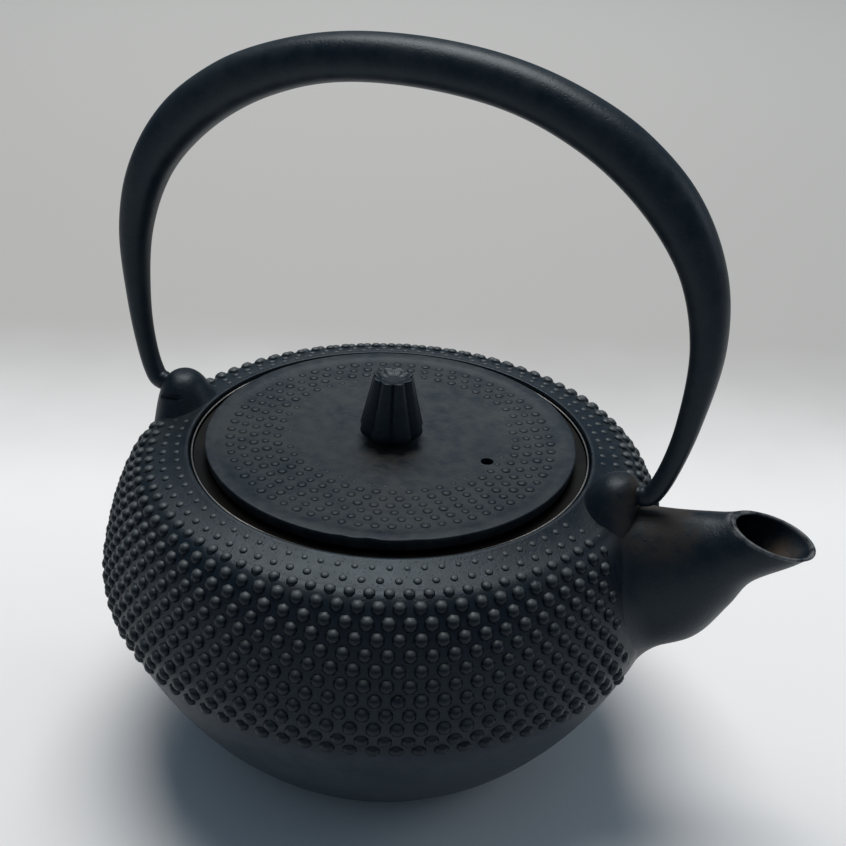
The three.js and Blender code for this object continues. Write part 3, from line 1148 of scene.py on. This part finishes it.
    def spout_line(self, angle: float) -> Loop:
        """Draws one line along the spout.

        Args:
            angle: Place round the spout, 0 at its top.

        Returns:
            Its points from the flared root over the lip and down the channel.
        """
        outer_end = self.crossing(angle, self.inset, self.above_mouth, 0.3, 1.0)
        inner_end = self.crossing(angle, self.lip, self.above_mouth, 0.3, 1.0)
        root = self.crossing(angle, self.inset, self.outside, 0.0, 0.75)
        hinge = self.spout_point(root, angle, self.inset)
        fillet = self.fillet * (1 - 0.8 * smooth(hinge.z, 62, 78))
        start = self.crossing(angle, self.inset, lambda p: self.outside(p) - fillet * 0.7, root, 0.9)
        line = self.flare(hinge, self.spout_point(start, angle, self.inset), fillet)
        for step in range(self.spout_stations):
            t = start + (outer_end - start) * step / self.spout_stations
            line.append(self.spout_point(t, angle, self.inset))
        last = start + (outer_end - start) * self.spout_stations / self.spout_stations
        line += self.rolled_lip(self.spout_point(last, angle, self.inset),
                                self.spout_point(inner_end, angle, self.lip))
        for step in range(1, self.channel_steps + 1):
            t = inner_end - 0.02 + (0.12 - inner_end + 0.02) * step / self.channel_steps
            wall = self.lip + (self.spout_wall - self.lip) * smooth(step, 0, 9)
            line.append(self.spout_point(t, angle, wall))
        return line

    def spout(self, material: bpy.types.Material) -> bpy.types.Object:
        """Makes the spout with its flared root, rounded lip and inner channel.

        Args:
            material: The spout's finish.

        Returns:
            The spout.
        """
        lines = [self.spout_line(2 * math.pi * side / self.spout_sides) for side in range(self.spout_sides)]
        loops = [[line[row] for line in lines] for row in range(len(lines[0]))]
        return skin("spout", loops, material, close_ends=False, sharp_degrees=60)

    def channel(self) -> bpy.types.Object:
        """Makes the tool that opens the body's wall behind the spout.

        Returns:
            The tool, which ends inside the pot and inside the spout.
        """
        rows, sides = 12, 40
        loops = []
        for step in range(rows + 1):
            t = 0.02 + 0.5 * step / rows
            loops.append([self.spout_point(t, 2 * math.pi * side / sides, self.spout_wall + 0.1)
                          for side in range(sides)])
        return skin("channel", loops, None)

    def top_height(self, radius: float) -> float:
        """Measures the shoulder.

        Args:
            radius: The radius at which it is measured.

        Returns:
            The height of its surface there.
        """
        outline = self.outer()
        for (r0, z0), (r1, z1) in zip(outline, outline[1:]):
            if z0 > self.belly_height and r1 <= radius <= r0:
                return z0 + (z1 - z0) * (r0 - radius) / max(r0 - r1, 1e-6)
        return self.lip_height if radius < self.shoulder_radius else self.belly_height

    def ear(self, side: int, material: bpy.types.Material) -> bpy.types.Object:
        """Makes one ear, a low flared hood with a blind bore for the handle's pin.

        Args:
            side: 1 for the ear at the spout, -1 for the other.
            material: The ear's finish.

        Returns:
            The ear, with the casting's seams in the one away from the spout.
        """
        rings, turns = self.ear_rings, self.ear_turns
        loops: list[Loop] = []
        for ring in range(rings + 3):
            rho = min(1.0, (ring + 0.5) / rings)
            loop = []
            for turn in range(turns):
                angle = 2 * math.pi * turn / turns
                c, s = math.cos(angle), math.sin(angle)
                length = self.ear_outer_length if c > 0 else self.ear_inner_length
                x = self.ear_centre + length * rho * c
                y = self.ear_half_width * rho * s
                base = self.top_height(math.hypot(x, y)) - 0.25
                hump = (1 - rho ** 2.6) ** (0.85 + 0.5 * rho ** 3)
                z = base + (self.ear_top - base) * hump
                if ring >= rings:
                    z = base - 1.3 * (ring - rings + 1)
                loop.append(Vector((x * side, y * side, z)))
            loops.append(loop)
        piece = skin(f"ear_{'front' if side > 0 else 'back'}", loops, material)
        tools = [bar("bore", Vector(((self.ear_face + 4) * side, 0, self.pivot_height)),
                     Vector(((self.ear_face - self.pin_length - 0.8) * side, 0, self.pivot_height)),
                     self.bore_radius, 40)]
        face = [Vector(((self.ear_face + step) * side, y, z)) for step in (0, 9)
                for y, z in ((-14, 60), (14, 60), (14, 99), (-14, 99))]
        tools.append(skin("face", [face[:4], face[4:]], None))
        if side < 0:
            for low, high in self.seams:
                tools.append(bar("seam", Vector(low), Vector(high), self.seam_radius, 16))
        return cut(piece, tools)

    def nubs(self) -> list[Stud]:
        """Sets out the hobnails in staggered rings.

        Returns:
            Their places, small at the mouth and none round the spout and the ears.
        """
        outline = list(reversed(self.outer()))
        studs = []
        travelled = 0.0
        rows = {self.first_row + self.nub_row_pitch * row: row for row in range(self.nub_rows)}
        for (r0, z0), (r1, z1) in zip(outline, outline[1:]):
            span = math.hypot(r1 - r0, z1 - z0)
            for distance, row in rows.items():
                if not travelled <= distance < travelled + span:
                    continue
                t = (distance - travelled) / span
                radius, height = r0 + (r1 - r0) * t, z0 + (z1 - z0) * t
                lean = Vector((-(z1 - z0), r1 - r0)).normalized()
                grown = 0.3 + 0.7 * smooth(row, 0.2, 3.6)
                for step in range(self.nubs_in_ring):
                    angle = 2 * math.pi * (step + 0.5 * (row % 2)) / self.nubs_in_ring
                    c, s = math.cos(angle), math.sin(angle)
                    facing = Vector((lean.x * c, lean.x * s, lean.y))
                    place = Vector((radius * c, radius * s, height)) - facing * self.nub_sink
                    share = grown * self.clear_of_spout(place) * self.clear_of_ears(place)
                    if share > self.least_nub:
                        studs.append(Stud(place, facing, Vector((share ** 0.6, share ** 0.6, share))))
            travelled += span
        return studs

    def clear_of_spout(self, place: Vector) -> float:
        """Keeps the hobnails off the spout's flared root.

        Args:
            place: A hobnail's place.

        Returns:
            0 on the root and 1 clear of it.
        """
        if place.x < 0:
            return 1.0
        half_width, half_height = self.bare_at_spout
        across = math.hypot(place.y / half_width, (place.z - self.bare_spout_height) / half_height)
        return smooth(across, 1.0, 1.22)

    def clear_of_ears(self, place: Vector) -> float:
        """Keeps the hobnails off the ears.

        Args:
            place: A hobnail's place.

        Returns:
            0 beside an ear and 1 clear of it.
        """
        half_width, half_length = self.bare_at_ears
        across = math.hypot(place.y / half_width, (abs(place.x) - self.bare_ear_distance) / half_length)
        return smooth(across, 1.0, 1.3) if place.z > 72 else 1.0

    def build(self, material: bpy.types.Material) -> list[bpy.types.Object]:
        """Makes the body's pieces and dresses them.

        Args:
            material: The body's finish.

        Returns:
            The shell, the spout, the two ears and the field of nubs.
        """
        shell = lathe("body_shell", self.shell_outline(), 192, material, sharp_degrees=35)
        cut(shell, [self.channel()])
        hobnails = StudField("hobnail_field", Form.DOME, 8, 5)
        nubs = hobnails.grow("body_hobnails", self.nubs(), self.nub_radius, self.nub_height,
                             self.nub_unevenness, self.nub_seed, material)
        pieces = [shell, self.spout(material), self.ear(1, material), self.ear(-1, material), nubs]
        for piece in pieces:
            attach(piece, "pot")
        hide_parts("kettle_body")
        return pieces


@dataclass
class Lid:
    """The lid plate with its nub band, and its fluted knob. Sizes in millimetres."""

    radius: float = 46.4
    top: float = 85.2
    thickness: float = 3.4
    flange_radius: float = 41.4
    flange_wall: float = 2.2
    flange_depth: float = 4.3
    vent_radius: float = 1.6
    vent_distance: float = 25.7
    chips: tuple[tuple[float, float, float], ...] = ((0.55, 287, 2.6), (0.35, 279, 2.0), (0.3, 300, 2.4))
    nub_radius: float = 1.2
    nub_height: float = 0.42
    nub_unevenness: float = 0.14
    nub_seed: int = 3
    nub_sink: float = 0.1
    least_nub: float = 0.15
    first_ring: float = 40.2
    ring_pitch: float = 2.95
    rings: int = 7
    nub_pitch: float = 3.9
    knob_foot: float = 85.5
    knob_height: float = 17
    knob_foot_radius: float = 5.3
    knob_radius: float = 8.2
    knob_top_radius: float = 5.15
    knob_widest: float = 0.17
    flute_depth: float = 1.15
    crown_dip: float = 0.9
    flutes: int = 8
    relief: float = 0.45

    def edge(self, radius: float, height: float, angle: float) -> float:
        """Chips the lid's front edge; each chip has a depth, a direction and a spread in degrees.

        Args:
            radius: A radius on the lid's outline.
            height: Its height.
            angle: Its direction.

        Returns:
            The radius with the chips taken off.
        """
        if radius < self.radius - 3:
            return radius
        turned = math.degrees(angle) % 360
        dent = 0.0
        for depth, direction, spread in self.chips:
            dent += depth * math.exp(-((turned - direction) / spread) ** 2)
        upper = smooth(height, self.top - self.thickness * 0.75, self.top - self.thickness * 0.3)
        return radius - dent * upper

    def plate(self, material: bpy.types.Material) -> bpy.types.Object:
        """Makes the lid plate with its locating flange, sunk middle and vent.

        Args:
            material: The plate's finish.

        Returns:
            The plate.
        """
        under = self.top - self.thickness
        inner = self.flange_radius - self.flange_wall
        sunk = self.top - self.relief
        outline = rounded([
            (0.0, under), (inner, under), (inner, under - self.flange_depth),
            (self.flange_radius, under - self.flange_depth), (self.flange_radius, under),
            (self.radius - 0.5, under), (self.radius, self.top - 0.12), (self.radius - 2.6, self.top - 0.1),
            (self.radius - 4.6, sunk), (0.0, sunk),
        ], [0, 0.4, 0.5, 0.5, 0.4, 0.5, 0.4, 0.8, 1.2, 0])
        plate = lathe("lid_plate_casting", outline, 240, material, warp=self.edge, sharp_degrees=35)
        vent = bar("vent", Vector((self.vent_distance, 0, self.top + 2)),
                   Vector((self.vent_distance, 0, self.top - 8)), self.vent_radius)
        return cut(plate, [vent])

    def nubs(self) -> list[Stud]:
        """Sets out the lid's small hobnails in rings.

        Returns:
            Their places, fading out towards the middle, sooner at the back.
        """
        studs = []
        for ring in range(self.rings):
            radius = self.first_ring - self.ring_pitch * ring
            count = round(2 * math.pi * radius / self.nub_pitch)
            for step in range(count):
                angle = 2 * math.pi * (step + 0.5 * (ring % 2)) / count
                front = 0.5 - 0.5 * math.sin(angle)
                fade = smooth(radius, 30 - 11 * front, 35 - 9 * front)
                if fade < self.least_nub:
                    continue
                place = Vector((radius * math.cos(angle), radius * math.sin(angle),
                                self.top - self.relief - self.nub_sink))
                studs.append(Stud(place, Vector((0, 0, 1)), Vector((fade ** 0.5, fade ** 0.5, fade))))
        return studs

    def knob(self, material: bpy.types.Material) -> bpy.types.Object:
        """Makes the tapered knob with its flutes and scalloped, dished crown.

        Args:
            material: The knob's finish.

        Returns:
            The knob.
        """
        sides = self.flutes * 12
        widest, top = self.knob_radius, self.knob_top_radius
        levels = [(0.0, self.knob_foot_radius * 0.9)]
        for step in range(8):
            rise = self.knob_widest * step / 7
            swelling = math.sin(math.pi / 2 * step / 7)
            levels.append((rise, self.knob_foot_radius + (widest - self.knob_foot_radius) * swelling))
        for step in range(1, 17):
            share = step / 16
            levels.append((self.knob_widest + (0.975 - self.knob_widest) * share,
                           widest + (top - widest) * share))
        levels += [(0.99, top - 0.08), (1.0, top - 0.3)]
        loops: list[Loop] = []
        for rise, radius in levels:
            loop = []
            for side in range(sides):
                angle = 2 * math.pi * side / sides
                valley = 1 - abs(math.cos(angle * self.flutes / 2)) ** 0.8
                here = radius - self.flute_depth * valley * smooth(rise, 0.0, 0.12)
                height = self.knob_foot + self.knob_height * rise - 0.3 * valley * smooth(rise, 0.9, 1.0)
                loop.append(Vector((here * math.cos(angle), here * math.sin(angle), height)))
            loops.append(loop)
        rim = loops[-1]
        middle = Vector((0, 0, self.knob_foot + self.knob_height - self.crown_dip))
        for share in (0.9, 0.78, 0.55, 0.3, 0.06):
            sunk = smooth(share, 1.0, 0.55)
            loops.append([Vector((p.x * share, p.y * share, p.z + (middle.z - p.z) * sunk)) for p in rim])
        return skin("lid_knob_casting", loops, material, sharp_degrees=75)

    def build(self, iron: bpy.types.Material, knob_iron: bpy.types.Material) -> list[bpy.types.Object]:
        """Makes the lid's pieces and dresses them.

        Args:
            iron: The lid plate's finish.
            knob_iron: The knob's finish.

        Returns:
            The plate, its nubs and the knob.
        """
        plate = self.plate(iron)
        hobnails = StudField("lid_nub_field", Form.DOME, 8, 5)
        nubs = hobnails.grow("lid_hobnails", self.nubs(), self.nub_radius, self.nub_height,
                             self.nub_unevenness, self.nub_seed, iron)
        knob = self.knob(knob_iron)
        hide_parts("lid_plate")
        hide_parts("lid_knob")
        for piece, finish in ((plate, Casting.LID), (nubs, Casting.LID), (knob, Casting.KNOB)):
            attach(piece, "lid")
        return [plate, nubs, knob]


@dataclass
class BailHandle:
    """The cast bail, thick over the arch and thin at its pins. Sizes in millimetres."""

    pivot_height: float = 85.4
    ear_face: float = 64.3
    pin_radius: float = 2.3
    pin_length: float = 8.5
    rise: float = 93
    reach: float = 74.6
    reach_height: float = 40
    top_thickness: float = 11.6
    top_width: float = 13
    leg_thickness: float = 5
    lean: float = 7.5
    swell: float = 1.1
    squareness: float = 2.3
    end_rounding: float = 160
    stations: int = 260
    sides: int = 40
    trim: float = 0.06

    def line(self) -> Loop:
        """Draws the centre line in the handle's own plane.

        Returns:
            Its control points from one pin's end to the other's.
        """
        foot = self.ear_face + self.leg_thickness / 2 + 1.5
        reach, rise = self.reach, self.rise
        right = [
            (self.ear_face - self.pin_length, 0), (self.ear_face - 2, 0), (foot - 1.7, 0.7), (foot, 3),
            (foot + 2.4, 9.5), (reach - 1.4, 21), (reach, self.reach_height),
            (reach * 0.952, rise * 0.602), (reach * 0.838, rise * 0.747), (reach * 0.665, rise * 0.864),
            (reach * 0.469, rise * 0.94), (reach * 0.27, rise * 0.983),
        ]
        left = [(-x, y) for x, y in reversed(right)]
        return [Vector((x, 0, y)) for x, y in [*right, (0, rise), *left]]

    def half_sizes(self, centre: Vector) -> tuple[float, float]:
        """Measures the handle's section.

        Args:
            centre: A place on the centre line.

        Returns:
            Half the thickness and half the width there.
        """
        if abs(centre.x) < self.ear_face + 0.6 and centre.z < self.pin_radius * 2:
            return self.pin_radius - self.trim, self.pin_radius - self.trim
        share = smooth(centre.z, 4, self.rise * 0.8)
        bulge = self.swell * smooth(centre.z, self.rise * 0.6, self.rise * 0.8)
        bulge *= 1 - smooth(centre.z, self.rise * 0.86, self.rise)
        thickness = self.leg_thickness + (self.top_thickness - self.leg_thickness) * share + bulge
        widening = smooth(centre.z, 4, self.rise * 0.85)
        width = self.leg_thickness + (self.top_width - self.leg_thickness) * widening
        return thickness / 2 - self.trim, width / 2 - self.trim

    def build(self, material: bpy.types.Material) -> bpy.types.Object:
        """Makes the handle and dresses it.

        Args:
            material: The handle's finish.

        Returns:
            The handle.
        """
        control = self.line()
        lean = Matrix.Rotation(-math.radians(self.lean), 3, "X")
        lift = Vector((0, 0, self.pivot_height))
        depth = Vector((0, 1, 0))
        loops = []
        for station in range(self.stations + 1):
            t = station / self.stations
            centre = curve_point(control, t)
            ahead = curve_point(control, min(t + 0.002, 1)) - curve_point(control, max(t - 0.002, 0))
            outward = depth.cross(ahead.normalized())
            half_thickness, half_width = self.half_sizes(centre)
            round_end = min(1.0, max(0.0, min(t, 1 - t) * self.end_rounding))
            shrink = math.sqrt(1 - (1 - round_end) ** 2) if round_end < 1 else 1.0
            loop = []
            for side in range(self.sides):
                angle = 2 * math.pi * side / self.sides
                c, s = math.cos(angle), math.sin(angle)
                square = (abs(c) ** self.squareness + abs(s) ** self.squareness) ** (-1 / self.squareness)
                point = centre + outward * (half_thickness * c * square * max(shrink, 0.05))
                point += depth * (half_width * s * square * max(shrink, 0.05))
                loop.append(lean @ point + lift)
            loops.append(loop)
        handle = skin("bail_handle_casting", loops, material, sharp_degrees=80)
        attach(handle, "handle")
        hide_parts("bail_handle")
        return handle


@dataclass
class Infuser:
    """The stainless basket: rolled rim, woven wall and floor, and bottom ring. Sizes in millimetres."""

    rim_top: float = 81.5
    sheet: float = 0.6
    rim_outer: float = 49.95
    rim_lip: float = 0.9
    collar_outer: float = 43.4
    collar_depth: float = 7
    depth: float = 39
    ring_height: float = 4.6
    ring_shelf: float = 4.5
    mesh_radius: float = 42.25
    wire_radius: float = 0.16
    wires_round: int = 150
    rings: int = 24
    hoop_sides: int = 72
    hoop_overlap: float = 1.02
    floor_wires: int = 44
    segments: int = 144
    # The rim inside 49.6 mm gets painted shade, as the lid's shadow.
    finish: Steel = field(default_factory=lambda: Steel("infuser_steel", shaded_within=49.6))

    def rim(self, material: bpy.types.Material) -> bpy.types.Object:
        """Makes the rim with its turned-up lip and collar.

        Args:
            material: The rim's finish.

        Returns:
            The rim.
        """
        inner = self.collar_outer - self.sheet
        collar_end = self.rim_top - self.collar_depth
        outline = [
            (inner, collar_end), (self.collar_outer, collar_end),
            (self.collar_outer, self.rim_top - self.sheet), (self.rim_outer, self.rim_top - self.sheet),
            (self.rim_outer, self.rim_top + self.rim_lip),
            (self.rim_outer - self.sheet, self.rim_top + self.rim_lip),
            (self.rim_outer - self.sheet, self.rim_top), (inner, self.rim_top),
        ]
        turned = rounded(outline, [0.15, 0.15, 0.3, 0.5, 0.25, 0.25, 0.3, 0.6], closed=True)
        return lathe("infuser_rim_sheet", turned, self.segments, material, closed=True)

    def bottom_ring(self, material: bpy.types.Material) -> bpy.types.Object:
        """Makes the ring that binds the wall to the floor.

        Args:
            material: The ring's finish.

        Returns:
            The ring.
        """
        low = self.rim_top - self.depth
        inner = self.collar_outer - self.sheet
        shelf = self.mesh_radius + 0.25 - self.ring_shelf
        outline = [
            (shelf, low), (self.collar_outer, low), (self.collar_outer, low + self.ring_height),
            (inner, low + self.ring_height), (inner, low + self.sheet), (shelf, low + self.sheet),
        ]
        turned = rounded(outline, [0.15, 0.6, 0.2, 0.2, 0.3, 0.15], closed=True)
        return lathe("infuser_ring_sheet", turned, self.segments, material, closed=True)

    def wall(self, weave: StudField, material: bpy.types.Material) -> bpy.types.Object:
        """Makes the wall's upright wires and its hoops.

        Args:
            weave: The field that sets the wires.
            material: The wires' finish.

        Returns:
            The wall.
        """
        low = self.rim_top - self.depth + self.sheet + 1.1
        high = self.rim_top - self.collar_depth / 3
        studs = []
        for step in range(self.wires_round):
            angle = 2 * math.pi * step / self.wires_round
            place = Vector((self.mesh_radius * math.cos(angle), self.mesh_radius * math.sin(angle),
                            (low + high) / 2))
            studs.append(Stud(place, Vector((0, 0, 1)), Vector((1, 1, high - low))))
        sides = self.hoop_sides
        chord = 2 * self.mesh_radius * math.sin(math.pi / sides)
        for ring in range(self.rings):
            height = low + (high - low) * (ring + 0.5) / self.rings
            for side in range(sides):
                angle = 2 * math.pi * side / sides
                place = Vector((self.mesh_radius * math.cos(angle), self.mesh_radius * math.sin(angle),
                                height))
                along = Vector((-math.sin(angle), math.cos(angle), 0))
                studs.append(Stud(place, along, Vector((1, 1, chord * self.hoop_overlap))))
        return weave.grow("infuser_wall_wires", studs, self.wire_radius, 1, 0, 1, material)

    def floor(self, weave: StudField, material: bpy.types.Material) -> bpy.types.Object:
        """Makes the floor's crossing wires.

        Args:
            weave: The field that sets the wires.
            material: The wires' finish.

        Returns:
            The floor.
        """
        height = self.rim_top - self.depth + self.sheet + 0.55
        studs = []
        radius = self.mesh_radius - 0.2
        for step in range(self.floor_wires):
            offset = radius * (2 * (step + 0.5) / self.floor_wires - 1)
            length = 2 * math.sqrt(radius * radius - offset * offset)
            share = Vector((1, 1, length))
            studs.append(Stud(Vector((offset, 0, height)), Vector((0, 1, 0)), share))
            studs.append(Stud(Vector((0, offset, height - 0.12)), Vector((1, 0, 0)), share))
        return weave.grow("infuser_floor_wires", studs, self.wire_radius, 1, 0, 1, material)

    def build(self) -> list[bpy.types.Object]:
        """Makes the infuser's pieces and dresses them.

        Returns:
            The rim, wall, floor and ring.
        """
        material = self.finish.material()
        weave = StudField("infuser_weave", Form.WIRE, 5)
        pieces = {
            "infuser_rim": self.rim(material), "infuser_mesh_wall": self.wall(weave, material),
            "infuser_mesh_floor": self.floor(weave, material),
            "infuser_bottom_ring": self.bottom_ring(material),
        }
        for node, piece in pieces.items():
            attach(piece, "infuser")
            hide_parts(node)
        return list(pieces.values())


@dataclass(frozen=True)
class Softbox:
    """A square soft lamp that faces the kettle: its place and side in metres, its power and colour."""

    name: str
    place: Place
    side: float
    watts: float
    colour: Colour


@dataclass
class Studio:
    """Camera, soft lights and table. The camera's place is in millimetres and degrees."""

    azimuth: float = 22.24
    elevation: float = 33.17
    distance: float = 406.8
    target_height: float = 60
    yaw: float = -1.147
    pitch: float = 3.611
    roll: float = -1.970
    focal_pixels: float = 1568.2
    image_pixels: float = 846
    sensor: float = 36
    lamps: tuple[Softbox, ...] = (
        Softbox("top_softbox", (-0.22, 0.35, 1.15), 0.8, 15.5, (1.0, 0.965, 0.925)),
        Softbox("side_softbox", (0.9, 0.6, 0.6), 0.6, 1.2, (0.95, 0.98, 1.0)),
    )
    lit_height: float = 0.06
    room_colour: Colour = (0.60, 0.80, 1.0)
    room_strength: float = 0.19
    table_half: float = 3000.0

    def camera(self) -> Vector:
        """Sets up the camera.

        Returns:
            The level direction in which it looks.
        """
        a, e = math.radians(self.azimuth), math.radians(self.elevation)
        back = Vector((math.sin(a) * math.cos(e), -math.cos(a) * math.cos(e), math.sin(e)))
        ahead = -back
        right = ahead.cross(Vector((0, 0, 1))).normalized()
        up = right.cross(ahead)
        turn = Matrix.Rotation(math.radians(self.yaw), 3, up)
        ahead, right = turn @ ahead, turn @ right
        turn = Matrix.Rotation(math.radians(self.pitch), 3, right)
        ahead, up = turn @ ahead, turn @ up
        turn = Matrix.Rotation(math.radians(self.roll), 3, ahead)
        right, up = turn @ right, turn @ up
        data = bpy.data.cameras.new("camera")
        data.sensor_width = self.sensor
        data.lens = self.focal_pixels / self.image_pixels * self.sensor
        data.clip_start = 0.02
        camera = bpy.data.objects.new("camera", data)
        place = (Vector((0, 0, self.target_height)) + back * self.distance) * MM
        matrix = Matrix((right, up, -ahead)).transposed().to_4x4()
        matrix.translation = place
        camera.matrix_world = matrix
        bpy.context.scene.collection.objects.link(camera)
        bpy.context.scene.camera = camera
        return Vector((ahead.x, ahead.y, 0)).normalized()

    def lamp(self, box: Softbox) -> None:
        """Adds one lamp, turned to the middle of the kettle.

        Args:
            box: The lamp.
        """
        data = bpy.data.lights.new(box.name, "AREA")
        data.size = box.side
        data.energy = box.watts
        data.color = box.colour
        lamp = bpy.data.objects.new(box.name, data)
        lamp.location = box.place
        towards = Vector((0, 0, self.lit_height)) - Vector(box.place)
        lamp.rotation_euler = towards.to_track_quat("-Z", "Y").to_euler()
        bpy.context.scene.collection.objects.link(lamp)

    def build(self) -> None:
        """Makes camera, lights, world and table."""
        ahead = self.camera()
        for box in self.lamps:
            self.lamp(box)
        world = bpy.data.worlds.new("room")
        world.use_nodes = True
        background = world.node_tree.nodes["Background"]
        background.inputs["Color"].default_value = (*self.room_colour, 1)
        background.inputs["Strength"].default_value = self.room_strength
        bpy.context.scene.world = world
        side = self.table_half
        corners = [Vector((-side, -side, 0)), Vector((side, -side, 0)), Vector((side, side, 0)),
                   Vector((-side, side, 0))]
        table = make_piece("table_top", corners, [[0, 1, 2, 3]], Ground().material(ahead))
        bpy.context.scene.view_settings.view_transform = "Standard"


def mouth_wear(shader: Shader) -> Number:
    """Marks the worn line along the spout's lip.

    Args:
        shader: The body's shader.

    Returns:
        1 on the lip and 0 away from it.
    """
    back, tip = KettleBody.mouth_back, KettleBody.mouth_tip
    along = Vector((tip[0] - back[0], tip[1] - back[1])).normalized()
    above = (shader.axis("X") - back[0]) * -along.y + (shader.axis("Z") - back[1]) * along.x
    return above.step(-1.1, -0.35) * shader.axis("X").step(84.0, 85.0)


def dress_fasteners() -> None:
    """Gives the knob's rivet and washer, whose solids are kept, a dull steel finish."""
    steel = Steel("fastener_steel", (0.18, 0.18, 0.185), 0.45).material()
    for name in ("knob_rivet", "knob_washer"):
        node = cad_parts[name]
        node.data.materials.clear()
        node.data.materials.append(steel)
        LOG.info("dressed %s", name)


def main() -> None:
    """Builds the kettle's pieces in order around the frame, and measures them."""
    logging.basicConfig(level=logging.INFO, format="%(message)s")
    Studio().build()
    root_rust, mouth_rust = RustSpot((70, -2, 84), 15, 0.7), RustSpot((98, 1, 77), 7, 1.0)
    # The body gets a painted table reflection below 46 mm, and painted shade and highlights on its studs.
    body_iron = CastIron(Casting.BODY, rust=(root_rust, mouth_rust), wear=mouth_wear, reflection_below=46,
                         grey=0.9, paints_stud_shading=True).material()
    lid_iron = CastIron(Casting.LID, roughness=0.5, light=(0.027, 0.031, 0.033),
                        rust=(RustSpot((3, -8.6, 85), 10, 0.35),)).material()
    knob_iron = CastIron(Casting.KNOB, roughness=0.4).material()
    handle_iron = CastIron(Casting.HANDLE, roughness=0.42, grain_depth=0.07).material()
    pieces = [*KettleBody().build(body_iron), *Lid().build(lid_iron, knob_iron),
              BailHandle().build(handle_iron), *Infuser().build()]
    dress_fasteners()
    for piece in pieces:
        LOG.info("built %s with %d faces", piece.name, len(piece.data.polygons))


if __name__ == "__main__":
    main()
